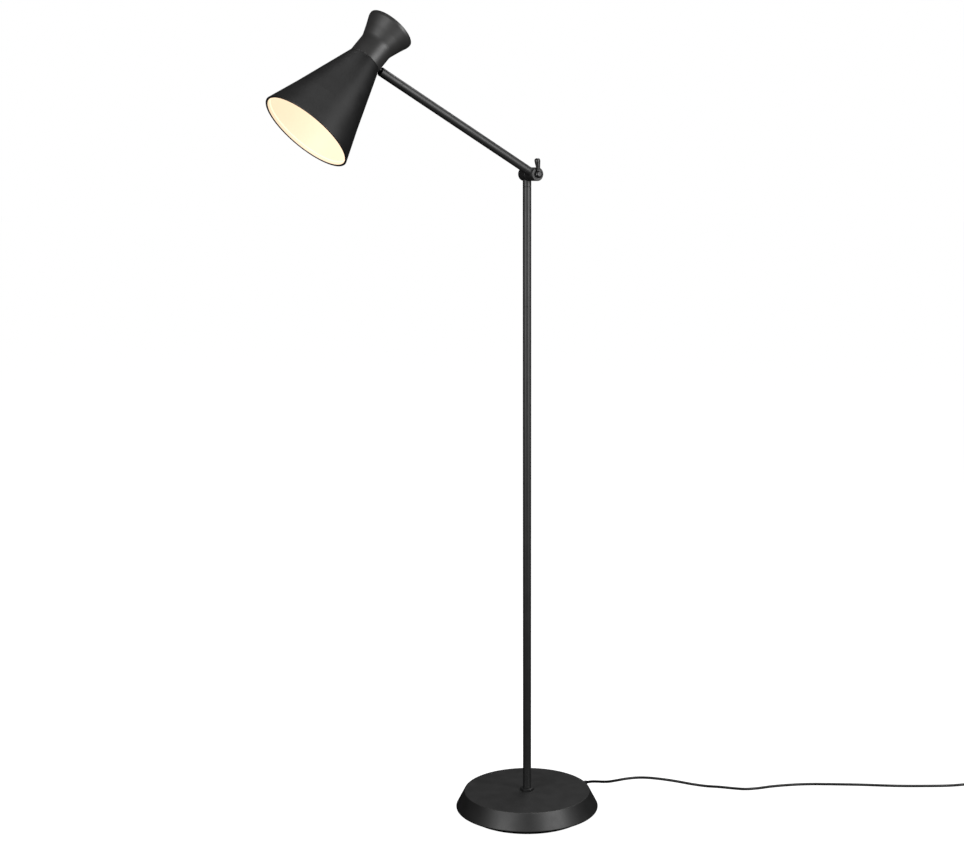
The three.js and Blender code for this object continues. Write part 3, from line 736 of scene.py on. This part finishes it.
def collar_nut():
    """The low hexagonal nut between the base and the pole, chamfered at its top corners."""
    low, high = TOP_HEIGHT + GAP, TOP_HEIGHT + COLLAR_NUT_HEIGHT
    outline = hexagon(COLLAR_NUT_FLATS, COLLAR_NUT_TURN)
    nut = slab("collar_nut_hex", outline, low, high, edge=0.25)
    chamfer = turned(
        "chamfer",
        [
            (0, low - 1, 0),
            (16, low - 1, 0),
            (16, high - 1.6, 0),
            (11.8, high + 0.4, 0),
            (0, high + 0.4, 0),
        ],
        segments=96,
    )
    nut = combine(nut, "INTERSECT", chamfer)
    return combine(nut, "DIFFERENCE", rod(BORE, low - 2, high + 2))


def strain_relief():
    """The flexible boot where the cord leaves the base: a collar and a ribbed taper."""
    start, tip = 146.0, 162.7
    ribs = []
    count = 5
    pitch = (tip - 2.4 - start) / count
    for k in range(count):
        at = start + k * pitch
        radius = 5.3 - 1.5 * (at - start) / (tip - start)
        ribs += [(radius, at, 0.25), (radius - 0.05, at + pitch * 0.58, 0.25)]
        ribs += [(radius - 1.0, at + pitch * 0.66, 0.2), (radius - 1.1, at + pitch * 0.94, 0.2)]
    return turned(
        "strain_relief_boot",
        [
            (2.7, 126, 0),
            (5.6, 126, 0.2),
            (5.6, 134, 0),
            (8, 134, 0.2),
            (8, 142.4, 0.7),
            (5.6, 142.9, 0.4),
            (5.5, start - 1, 0.2),
            *ribs,
            (3.9, tip - 2.2, 0.3),
            (3.7, tip, 0.8),
            (2.7, tip, 0.3),
        ],
        GLAND,
        segments=64,
    )


# Pieces of the pole and pivot -------------------------------------------------------------


def tube(name, low, high, place=Matrix.Identity(4)):
    """A length of the pole's tube, its cut ends just eased and drawn up to the next piece."""
    inner = POLE_RADIUS - POLE_WALL
    high += GAP - 0.05
    corners = [(inner, low, 0.1), (POLE_RADIUS, low, 0.3), (POLE_RADIUS, high, 0.3), (inner, high, 0.1)]
    return turned(name, corners, place, 96)


def pole_section(node):
    low, high = (corner[2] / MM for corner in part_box(node))
    return tube(f"{node}_tube", low, high)


def drum(name, back, front):
    """A knuckle's drum about the pivot pin."""
    return turned(
        name,
        [
            (0, back, 0),
            (KNUCKLE_RADIUS, back, KNUCKLE_EDGE),
            (KNUCKLE_RADIUS, front, KNUCKLE_EDGE),
            (0, front, 0),
        ],
        PIN,
        segments=128,
    )


def bolt_hole(radius, back, front):
    return rod(radius, back, front, PIN)


def pole_head():
    """The pole's end: a drum welded onto a short stub of tube."""
    head = drum("pole_head_knuckle", *POLE_KNUCKLE)
    low, high = POLE_TOP + GAP, PIVOT.z / MM - 4
    corners = [(0, low, 0), (POLE_RADIUS, low, 0.25), (POLE_RADIUS, high, 0), (0, high, 0)]
    stub = turned("stub", corners, segments=128)
    head = weld(combine(head, "UNION", stub), 0.00035, 4)
    through = bolt_hole(BOLT_RADIUS + GAP, -20, 20)
    recess = bolt_hole(6, -12, -7)
    return combine(head, "DIFFERENCE", through, recess)


def arm_knuckle():
    """The arm's drum and the stub that its tube is pushed onto."""
    knuckle = drum("arm_knuckle_drum", *ARM_KNUCKLE)
    low, high = ARM_STUB
    corners = [(0, low, 0), (POLE_RADIUS, low, 0), (POLE_RADIUS, high, 0.25), (0, high, 0)]
    stub = turned("stub", corners, ARM, 128)
    knuckle = weld(combine(knuckle, "UNION", stub), 0.00035, 4)
    return combine(knuckle, "DIFFERENCE", bolt_hole(BOLT_RADIUS + GAP, 5, 40))


def pivot_bolt():
    """The socket-head bolt through both knuckles."""
    head = POLE_KNUCKLE[0] + 0.6
    bolt = turned(
        "pivot_bolt_socket",
        [
            (0, head, 0),
            (5.6, head, 0.5),
            (5.6, head + 3, 0.2),
            (BOLT_RADIUS, head + 3, 0.1),
            (BOLT_RADIUS, 39.6, 0.4),
            (0, 39.6, 0),
        ],
        PIN,
        segments=64,
    )
    socket = slab("socket", hexagon(5), head - 1, head + 2, PIN, edge=0.05)
    return combine(bolt, "DIFFERENCE", socket)


def friction_washer():
    front = ARM_KNUCKLE[0] - GAP
    back = front - 0.6
    return turned(
        "friction_washer_ring",
        [(3.3, back, 0.1), (12.2, back, 0.15), (12.2, front, 0.15), (3.3, front, 0.1)],
        PIN,
        segments=96,
    )


def clamp_disc():
    """The pressure plate under the lever, hollowed for the spring washer."""
    back = ARM_KNUCKLE[1] + GAP
    return turned(
        "clamp_disc_plate",
        [
            (3.3, back + 1.2, 0.1),
            (9.5, back + 1.2, 0.2),
            (9.5, back, 0.2),
            (KNUCKLE_RADIUS, back, 0.3),
            (KNUCKLE_RADIUS, CLAMP_FACE, 0.8),
            (3.3, CLAMP_FACE, 0.1),
        ],
        PIN,
        segments=128,
    )


def clamp_lever():
    """The clamping handle: a domed hub and a club-shaped stem."""
    back = CLAMP_FACE + GAP
    hub = turned(
        "clamp_lever_handle",
        [(0, back, 0), (7.1, back, 0.5), (7.1, 40.4, 2.4), (4.6, 43, 3), (0, 43, 0)],
        PIN,
        segments=96,
    )
    lean = Matrix.Rotation(math.radians(-7.5), 4, "Y")
    stem_place = Matrix.Translation((0, -0.0386, PIVOT.z)) @ lean
    stem = turned(
        "stem",
        [
            (0, 1, 0),
            (3.4, 1, 0),
            (3.4, 9, 8),
            (5.4, 23.5, 6),
            (5.3, 26.4, 2),
            (4.3, 28.2, 1.2),
            (2.4, 29.1, 1.2),
            (0, 29.4, 0),
        ],
        stem_place,
        segments=96,
    )
    return weld(combine(hub, "UNION", stem), 0.0003, 5)


# Pieces of the arm and the ball joint -----------------------------------------------------


def arm_tube():
    return tube("arm_tube_body", ARM_STUB[1] + 0.05, SLEEVE_START - GAP, ARM)


def head_sleeve():
    """The turning sleeve at the arm's end, its mouth rolled in round the ball."""
    return turned(
        "head_sleeve_barrel",
        [
            (7.1, SLEEVE_START, 0.15),
            (POLE_RADIUS, SLEEVE_START, 0.5),
            (POLE_RADIUS, SLEEVE_TIP, 0.7),
            (7.1, SLEEVE_TIP, 0.2),
        ],
        ARM,
        segments=96,
    )


def ball_stud():
    """The ball on its stud, which screws into the shade's collar."""
    ball = BALL_RADIUS
    wall = SEAM_RADIUS + 1.7
    angles = [math.radians(90 - 152 * k / 24) for k in range(25)]
    sphere = [(ball * math.cos(a), STUD_REACH + ball * math.sin(a), 0) for a in angles[1:]]
    return turned(
        "ball_stud_pin",
        [
            (0, STUD_REACH + ball, 0),
            *sphere,
            (2.6, STUD_REACH - 7.4, 0.5),
            (4.4, STUD_REACH - 7.5, 0.4),
            (4.4, wall, 0.3),
            (BOLT_RADIUS, wall, 0.1),
            (BOLT_RADIUS, 20.5, 0.4),
            (0, 20.5, 0),
        ],
        STUD,
        segments=64,
    )


# Pieces of the shade ----------------------------------------------------------------------


def cone_radius(height, inset=0.0):
    """The cone's outer radius at a height below the seam, less an inset across its wall."""
    share = -height / CONE_LENGTH
    return SEAM_RADIUS + (MOUTH_RADIUS - SEAM_RADIUS) * share - inset


def stud_hole():
    return rod(STUD_HOLE_RADIUS, 20, 45, STUD, 48)


def shade_skin():
    """The cone's black outer side with its rolled hem, and the collar inside the neck."""
    collar = SEAM_RADIUS - SHEET - GAP
    hem = CONE_LENGTH
    skin = turned(
        "shade_cone_skin",
        [
            (BORE, COLLAR_HEIGHT, 0),
            (collar, COLLAR_HEIGHT, 1),
            (collar, -GAP, 0.1),
            (SEAM_RADIUS, -GAP, 0.5),
            (cone_radius(-2), -2, 1.5),
            (cone_radius(-hem + 60), -hem + 60, 40),
            (MOUTH_RADIUS + 1.1, -hem + 0.9, 0.8),
            (MOUTH_RADIUS - 3.0, -hem + 0.9, 0.8),
            (MOUTH_RADIUS - 3.2, -hem + 2, 0.4),
            (cone_radius(-hem + 2.4, SKIN), -hem + 2.4, 0),
            (cone_radius(-2, SKIN), -2, 1),
            (collar - SKIN, -1.2, 0.3),
            (collar - SKIN, COLLAR_HEIGHT - SKIN, 0.8),
            (BORE, COLLAR_HEIGHT - SKIN, 0),
        ],
        SHADE,
        segments=256,
    )
    return combine(skin, "DIFFERENCE", stud_hole())


def shade_lining():
    """The white inside of the cone, with the folded hem standing out a little above the mouth."""
    hem = CONE_LENGTH - 1.2
    collar = SEAM_RADIUS - SHEET - GAP - SKIN
    return turned(
        "shade_cone_lining",
        [
            (cone_radius(-hem, SKIN + 0.05), -hem, 0.1),
            (cone_radius(-hem, SHEET + 0.7), -hem, 0.3),
            (cone_radius(-hem + HEM_WIDTH, SHEET + 0.7), -hem + HEM_WIDTH, 0.3),
            (cone_radius(-hem + HEM_WIDTH + 0.4, SHEET), -hem + HEM_WIDTH + 0.4, 0.2),
            (cone_radius(-4, SHEET), -4, 1),
            (collar - 0.6, -1.2, 0.5),
            (collar - 0.6, COLLAR_HEIGHT - 1.2, 1.5),
            (BORE, COLLAR_HEIGHT - 1.2, 0),
            (BORE, COLLAR_HEIGHT - SKIN - 0.05, 0),
            (collar - 0.05, COLLAR_HEIGHT - SKIN - 0.05, 0.8),
            (collar - 0.05, -1.2, 0.2),
            (cone_radius(-3, SKIN + 0.05), -3, 1),
        ],
        SHADE,
        segments=256,
    )


def shade_hem_edge():
    """The raised edge of the folded hem, which glows brighter all round as a painted highlight."""
    top = CONE_LENGTH - 1.2 - HEM_WIDTH
    return turned(
        "shade_cone_hem_edge",
        [
            (cone_radius(-top - 1.6, SHEET + 0.1), -top - 1.6, 0.1),
            (cone_radius(-top - 1.6, SHEET + 1.1), -top - 1.6, 0.4),
            (cone_radius(-top + 0.2, SHEET + 1.1), -top + 0.2, 0.4),
            (cone_radius(-top + 0.2, SHEET + 0.1), -top + 0.2, 0.1),
        ],
        SHADE,
        segments=256,
    )


def shade_neck():
    """The waisted neck: straight above the seam and flaring to a rolled rim."""
    waist = NECK_WAIST
    flare = [(SEAM_RADIUS + 6.6, waist + 19.5, 60), (NECK_RIM - 0.2, NECK_HEIGHT - 5.5, 9)]
    outside = [
        (SEAM_RADIUS, 0, 0.3),
        (SEAM_RADIUS, waist, 26),
        *flare,
        (NECK_RIM + 0.2, NECK_HEIGHT - 0.6, 0.9),
        (NECK_RIM - 1.4, NECK_HEIGHT, 0.7),
        (NECK_RIM - 2.4, NECK_HEIGHT - 1.6, 0.6),
    ]
    inside = [(radius - SHEET, height, ease) for radius, height, ease in reversed(flare)]
    inside += [(SEAM_RADIUS - SHEET, waist, 26), (SEAM_RADIUS - SHEET, 0, 0.2)]
    neck = turned("shade_neck_flare", [*outside, *inside], SHADE, 256)
    return combine(neck, "DIFFERENCE", stud_hole())


def ring_outline(radius, count):
    angles = [2 * math.pi * k / count for k in range(count)]
    return [(radius * math.cos(a), radius * math.sin(a), 0) for a in angles]


def vent(turn):
    """One rounded cooling slot of the neck's cap."""
    corners = [(16.5, -1.2), (27.5, -1.2), (27.5, 1.2), (16.5, 1.2)]
    c, s = math.cos(turn), math.sin(turn)
    return [(x * c - y * s, x * s + y * c, 1.15) for x, y in corners]


def neck_cap():
    """The recessed disc in the neck's mouth, with eight cooling slots round its middle."""
    low = NECK_HEIGHT - 9
    vents = [vent(math.pi / 4 * k) for k in range(8)]
    return slab("neck_cap_disc", ring_outline(NECK_RIM - 2.8, 128), low, low + 1, SHADE, 0.15, 2, vents)


def lampholder():
    """The porcelain lampholder, its mouth towards the shade's mouth."""
    return turned(
        "lampholder_shell",
        [
            (13.9, -8, 0.6),
            (18.4, -8, 1.2),
            (18.4, 12, 3),
            (12, 18, 2),
            (9, 22.5, 0.6),
            (BORE, 22.5, 0.3),
            (BORE, 14.5, 0.2),
            (13.9, 14.5, 0.5),
        ],
        SHADE,
        segments=128,
    )


def bulb_screw():
    """The bulb's screw cap, its round thread rolled into the sleeve."""
    pitch, depth, mean = 3.62, 0.35, 12.75
    segments, rows = 96, 96
    bm = bmesh.new()
    rings = []
    for row in range(rows + 1):
        height = -13 + 19 * row / rows
        fade = min(1, min(row, rows - row) / 12)
        ring = []
        for k in range(segments):
            angle = 2 * math.pi * k / segments
            radius = mean + depth * fade * math.cos(2 * math.pi * height / pitch - angle)
            ring.append(bm.verts.new((radius * math.cos(angle), radius * math.sin(angle), height)))
        rings.append(ring)
    for radius, height in ((10, 7.4), (7, 8.9), (4, 10.6)):
        angles = (2 * math.pi * k / segments for k in range(segments))
        rings.append([bm.verts.new((radius * math.cos(a), radius * math.sin(a), height)) for a in angles])
    for low, high in zip(rings, rings[1:]):
        for k in range(segments):
            m = (k + 1) % segments
            bm.faces.new((low[k], low[m], high[m], high[k]))
    bm.faces.new(reversed(rings[0]))
    bm.faces.new(rings[-1])
    return finished("bulb_screw_cap", bm, SHADE)


def bulb_globe():
    """The round opal bulb with its neck."""
    wall = 1.2

    def skin(inset):
        angles = [math.radians(-90 + 125 * k / 40) for k in range(41)]
        radius = BULB_RADIUS - inset
        globe = [(radius * math.cos(a), BULB_MIDDLE + radius * math.sin(a), 0) for a in angles]
        return [
            (0, BULB_MIDDLE - radius, 0),
            *globe[1:],
            (18.5 - inset, -38, 8),
            (14.6 - inset, -26, 8),
            (13 - inset, -13 - GAP, 0),
        ]

    return turned("bulb_globe", [*skin(0), *reversed(skin(wall))], SHADE, 128)


# Pieces on the cord -----------------------------------------------------------------------

SWITCH_PLACE = CORD_END @ Matrix.Translation((-0.07, SWITCH_LINE, 0))
PLUG_PLACE = CORD_END @ Matrix.Translation((0, PLUG_LINE, 0.0071))


def rectangle(left, right, low, high, corner):
    return [(left, low, corner), (right, low, corner), (right, high, corner), (left, high, corner)]


def rounded_box(length, width, corner):
    return rectangle(-length / 2, length / 2, -width / 2, width / 2, corner)


def switch_half(name, low, high, edge):
    """One half of the switch's casing, with room for the cord at both ends."""
    half = slab(name, rounded_box(56, 24, 9), low, high, SWITCH_PLACE, edge=edge, loops=6)
    along = SWITCH_PLACE @ Matrix.Translation((0, 0, SWITCH_SEAM)) @ Matrix.Rotation(math.pi / 2, 4, "Y")
    return combine(half, "DIFFERENCE", rod(CORD_RADIUS / MM + 0.1, -40, 40, along, 48))


def switch_base():
    return switch_half("switch_base_shell", *SWITCH_BASE, 1.6)


def switch_cover():
    """The upper half, with the rocker's well."""
    cover = switch_half("switch_cover_shell", *SWITCH_COVER, 2.2)
    well = slab("well", rounded_box(17, 8.6, 0.8), 9.2, 17.5, SWITCH_PLACE, edge=0.1)
    return combine(cover, "DIFFERENCE", well)


def switch_rocker():
    """The rocker key: flat at its low end, rising in a curve to the other, its edges eased."""
    bm = bmesh.new()
    rows, columns = 32, 12
    half_length, half_width = 7.9, 3.9
    top, under = {}, {}
    for i in range(rows + 1):
        x = -half_length + 2 * half_length * i / rows
        for k in range(columns + 1):
            y = -half_width + 2 * half_width * k / columns
            edge = min(half_length - abs(x), half_width - abs(y))
            rise = 0.9 + 1.7 * max(0, x / half_length) ** 1.6
            ease = 0.5 * (1 - min(1, edge / 0.6)) ** 2
            top[i, k] = bm.verts.new((x, y, ROCKER_HEIGHT + rise - ease))
            under[i, k] = bm.verts.new((x, y, ROCKER_HEIGHT - 2.1))
    for i in range(rows):
        for k in range(columns):
            bm.faces.new((top[i, k], top[i + 1, k], top[i + 1, k + 1], top[i, k + 1]))
            bm.faces.new((under[i, k], under[i, k + 1], under[i + 1, k + 1], under[i + 1, k]))
    around = [(i, 0) for i in range(rows)] + [(rows, k) for k in range(columns)]
    around += [(i, columns) for i in range(rows, 0, -1)] + [(0, k) for k in range(columns, 0, -1)]
    for here, there in zip(around, around[1:] + around[:1]):
        bm.faces.new((under[here], under[there], top[there], top[here]))
    return finished("switch_rocker_key", bm, SWITCH_PLACE)


def screw(name, x):
    """A small cross-headed screw standing just proud of the cover."""
    place = SWITCH_PLACE @ Matrix.Translation((x * MM, 0, 0))
    low = SWITCH_COVER[1] + GAP
    high = low + 0.7
    corners = [(0, low, 0), (1.8, low, 0.1), (1.8, high - 0.2, 0.3), (1, high, 0.5), (0, high, 0)]
    head = turned(name, corners, place, 32)
    for turn in (0, math.pi / 2):
        across = place @ Matrix.Rotation(turn, 4, "Z")
        slot = slab("slot", rounded_box(2.4, 0.45, 0), high - 0.4, high + 0.6, across, edge=0.02)
        combine(head, "DIFFERENCE", slot)
    return head


def plug_body():
    """The moulded plug: a flat body that widens to its face, finger grips and a ribbed boot."""
    near_half = [(-54, -8, 3), (-67, -17, 6), (PLUG_FACE, -17, 1.2)]
    outline = [*near_half, *((x, -y, corner) for x, y, corner in reversed(near_half))]
    body = slab("plug_body_shell", outline, -6.8, 6.8, PLUG_PLACE, edge=2.6, loops=6)
    ribs = []
    for k in range(4):
        at = -38 - 3.6 * k
        radius = 3.5 + 0.35 * k
        ribs += [(radius, at, 0.3), (radius, at - 2.1, 0.3)]
        ribs += [(radius - 0.7, at - 2.4, 0.2), (radius - 0.7, at - 3.3, 0.2)]
    lie = PLUG_PLACE @ Matrix.Rotation(math.pi / 2, 4, "Y")
    corners = [(0, -36, 0), (3.3, -36, 0.6), *ribs, (5, -54, 0), (5, -57, 0), (0, -57, 0)]
    combine(body, "UNION", turned("boot", corners, lie, 64))
    for side in (-1, 1):
        place = PLUG_PLACE @ Matrix.Translation((0, side * 0.0023, 0))
        for k in range(4):
            front = -72 - 3.2 * k
            outline = rectangle(front, front + 1.2, side * 14, side * 18, 0)
            combine(body, "DIFFERENCE", slab("groove", outline, -4, 4, place, edge=0.2))
    return body


def plug_pin(name, side):
    """A round contact pin with a domed tip."""
    aside = Matrix.Translation((0, side * PIN_SPACING / 2 * MM, 0))
    place = PLUG_PLACE @ aside @ Matrix.Rotation(math.pi / 2, 4, "Y")
    root = PLUG_FACE - GAP
    return turned(name, [(0, PIN_TIP, 0), (2, PIN_TIP, 1.9), (2, root, 0.1), (0, root, 0)], place, 48)


def cord_tie():
    """The strap that holds the coil: a flat band right round it."""
    near, far, height, strap = 21.0, 37.6, 11.6, 0.9
    outer = rectangle(near - 1, far + 1, 0, height, 3.5)
    inner = rectangle(near, far, strap, height - strap, 2.8)
    upright = CORD_END @ Matrix.Translation((0, 0, 0.0002)) @ Matrix.Rotation(math.pi / 2, 4, "X")
    return slab("cord_tie_strap", outer, -3.4, 3.4, upright, edge=0.15, loops=2, holes=[inner])


# Light and floor --------------------------------------------------------------------------


LIGHT_AIM = 0.75  # the height on the pole that every light faces
FLOOR_RADIUS = 40000


def softbox(name, azimuth, distance, height, width, tall, power):
    """A soft area light round the pole, its azimuth counted from the camera's side."""
    data = bpy.data.lights.new(name, "AREA")
    data.shape = "RECTANGLE"
    data.size = width
    data.size_y = tall
    data.energy = power
    light = bpy.data.objects.new(name, data)
    bpy.context.scene.collection.objects.link(light)
    light.visible_camera = False
    turn = CAMERA_TURN + math.radians(azimuth)
    light.location = (distance * math.sin(turn), -distance * math.cos(turn), height)
    target = Vector((0, 0, LIGHT_AIM))
    light.rotation_euler = (target - light.location).to_track_quat("-Z", "Y").to_euler()


def make_floor():
    """A wide, plain, pale floor."""
    bm = bmesh.new()
    bmesh.ops.create_circle(bm, cap_ends=True, segments=128, radius=FLOOR_RADIUS)
    floor = finished("floor", bm, Matrix.Identity(4))
    pale = Surface("pale_floor", 0.9, specular=0)
    pale.set(**{"Base Color": (0.3, 0.3, 0.3, 1)})
    pale.glow((1, 1, 1), 1.0)
    floor.data.materials.append(pale.material)
    floor.visible_glossy = False
    floor.visible_diffuse = False


def make_light():
    softbox("left_box", azimuth=-40, distance=1.6, height=1.3, width=0.8, tall=1.3, power=16)
    softbox("right_box", azimuth=49, distance=1.6, height=1.3, width=0.8, tall=1.3, power=21)
    softbox("top_box", azimuth=150, distance=1.2, height=3.2, width=1.6, tall=1.6, power=40)
    world = bpy.data.worlds.new("studio")
    bpy.context.scene.world = world
    world.use_nodes = True
    world.node_tree.nodes["Background"].inputs["Color"].default_value = (1, 1, 1, 1)
    world.node_tree.nodes["Background"].inputs["Strength"].default_value = 1.0
    world.cycles.sampling_method = "NONE"
    world.cycles_visibility.glossy = False
    world.cycles_visibility.diffuse = False
    bpy.context.scene.view_settings.view_transform = "Standard"


# Assembly ---------------------------------------------------------------------------------


def dress(piece, material, body, slot, *nodes):
    """Gives a piece its material and body, and hides the model's nodes that it stands for. The slot is
    not used.
    """
    piece.data.materials.clear()
    piece.data.materials.append(material)
    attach(piece, body)
    if nodes:
        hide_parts(*nodes)
    return piece


def paint_nodes(material, *names):
    """Gives nodes that stay as they are their finished material."""
    for name in names:
        node = frame["nodes"][name]
        node.data.materials.clear()
        node.data.materials.append(material)


def build(cord):
    coat = powder_coat("black_powder_coat", 0.0155, 0.85)
    # The lampshade wears the same black powder coat, its tone painted darker than the pole's: painted
    # shade that takes off some of the light falling on it.
    lampshade_coat_painted_darker = powder_coat("lampshade_powder_coat_painted_darker", 0.006, 0.85)
    # The neck's coat is its own smoother satin, with a lighter tone that is painted light.
    satin = neck_coat()
    zinc = zinc_plate()
    black_steel = blackened_steel()
    plastic = moulded_plastic()
    sheath = cord_sheath()
    dark_nylon = nylon()
    brass = turned_brass()
    lead = lead_insulation()

    dress(base_cover(), coat, "stand", "black_paint", "base_cover")
    dress(foot_pad(), foam_rubber(), "stand", "foot_pad", "foot_pad")
    dress(base_plate(), black_steel, "stand", "black_steel", "base_plate")
    dress(collar_nut(), coat, "stand", "black_paint", "collar_nut")
    dress(strain_relief(), plastic, "stand", "black_plastic", "cord_gland")
    for node in ("pole_lower", "pole_middle", "pole_upper"):
        dress(pole_section(node), coat, "stand", "black_paint", node)
    dress(pole_head(), coat, "stand", "black_paint", "pole_head")
    dress(pivot_bolt(), black_steel, "stand", "black_steel", "pivot_bolt")
    dress(friction_washer(), dark_nylon, "stand", "nylon", "friction_washer")

    dress(clamp_disc(), coat, "arm", "black_paint", "clamp_disc")
    dress(clamp_lever(), handle_enamel(), "lever", "black_paint", "clamp_lever")
    dress(arm_knuckle(), coat, "arm", "black_paint", "arm_knuckle")
    dress(arm_tube(), coat, "arm", "black_paint", "arm_tube")
    dress(head_sleeve(), coat, "sleeve", "black_paint", "head_sleeve")
    dress(ball_stud(), black_steel, "stud", "black_steel", "ball_stud")

    dress(shade_skin(), lampshade_coat_painted_darker, "shade", "black_paint", "shade_cone")
    # The lining's glow is painted light, standing in for the bulb's light on it.
    dress(shade_lining(), enamel_with_painted_glow("enamel_with_painted_glow", LINING_PAINTED_GLOW), "shade", "shade_lining")
    # The hem's edge glows brighter than the lining: a painted highlight.
    dress(shade_hem_edge(), enamel_with_painted_glow("hem_painted_highlight_enamel", HEM_PAINTED_HIGHLIGHT_GLOW), "shade", "shade_lining")
    dress(shade_neck(), satin, "shade", "neck_paint", "shade_neck")
    dress(neck_cap(), satin, "shade", "neck_paint", "neck_cap")
    dress(lampholder(), glazed_ceramic(), "shade", "holder_ceramic", "lampholder_body")
    dress(bulb_screw(), bulb_metal(), "shade", "bulb_metal", "bulb_cap")
    dress(bulb_globe(), opal_glass(), "shade", "opal_glass", "bulb_glass")

    paint_nodes(cast_iron(), "base_weight")
    paint_nodes(
        zinc,
        "base_washer",
        "base_nut",
        "threaded_tube",
        "gland_nut",
        "spring_washer",
        "ball_retainer",
        "stud_inner_washer",
        "stud_nut",
        "lampholder_tube",
        "lampholder_nut",
    )
    paint_nodes(black_steel, "pole_foot_bush", "pole_coupling_lower", "pole_coupling_upper")
    paint_nodes(brass, "arm_end_bush", "lampholder_contact")
    paint_nodes(dark_nylon, "ball_cup")
    paint_nodes(sheath, "stud_washer")
    paint_nodes(lead, "base_lead", "pole_lead", "arm_lead")

    on_cord = [
        dress(switch_base(), plastic, "stand", "black_plastic", "switch_base"),
        dress(switch_cover(), plastic, "stand", "black_plastic", "switch_cover"),
        dress(switch_rocker(), plastic, "rocker", "black_plastic", "switch_rocker"),
        dress(screw("switch_screw_head_1", -19), zinc, "stand", "zinc_steel", "switch_screw_1"),
        dress(screw("switch_screw_head_2", 19), zinc, "stand", "zinc_steel", "switch_screw_2"),
        dress(cord_tie(), plastic, "stand", "cord_rubber", "cord_tie"),
        dress(plug_body(), plastic, "stand", "black_plastic", "plug_body"),
    ]
    nickel = nickel_plate()
    for k, side in ((1, -1), (2, 1)):
        pin = dress(plug_pin(f"plug_contact_{k}", side), nickel, "stand", "pin_steel", f"plug_pin_{k}")
        on_cord.append(pin)
    cord_nodes = ("cord_run", "cord_switch_to_coil", "cord_coil", "cord_coil_to_plug")
    dress(cord, sheath, "stand", "cord_rubber", *cord_nodes)


make_camera()
cord = make_cord()
build(cord)
make_floor()
make_light()
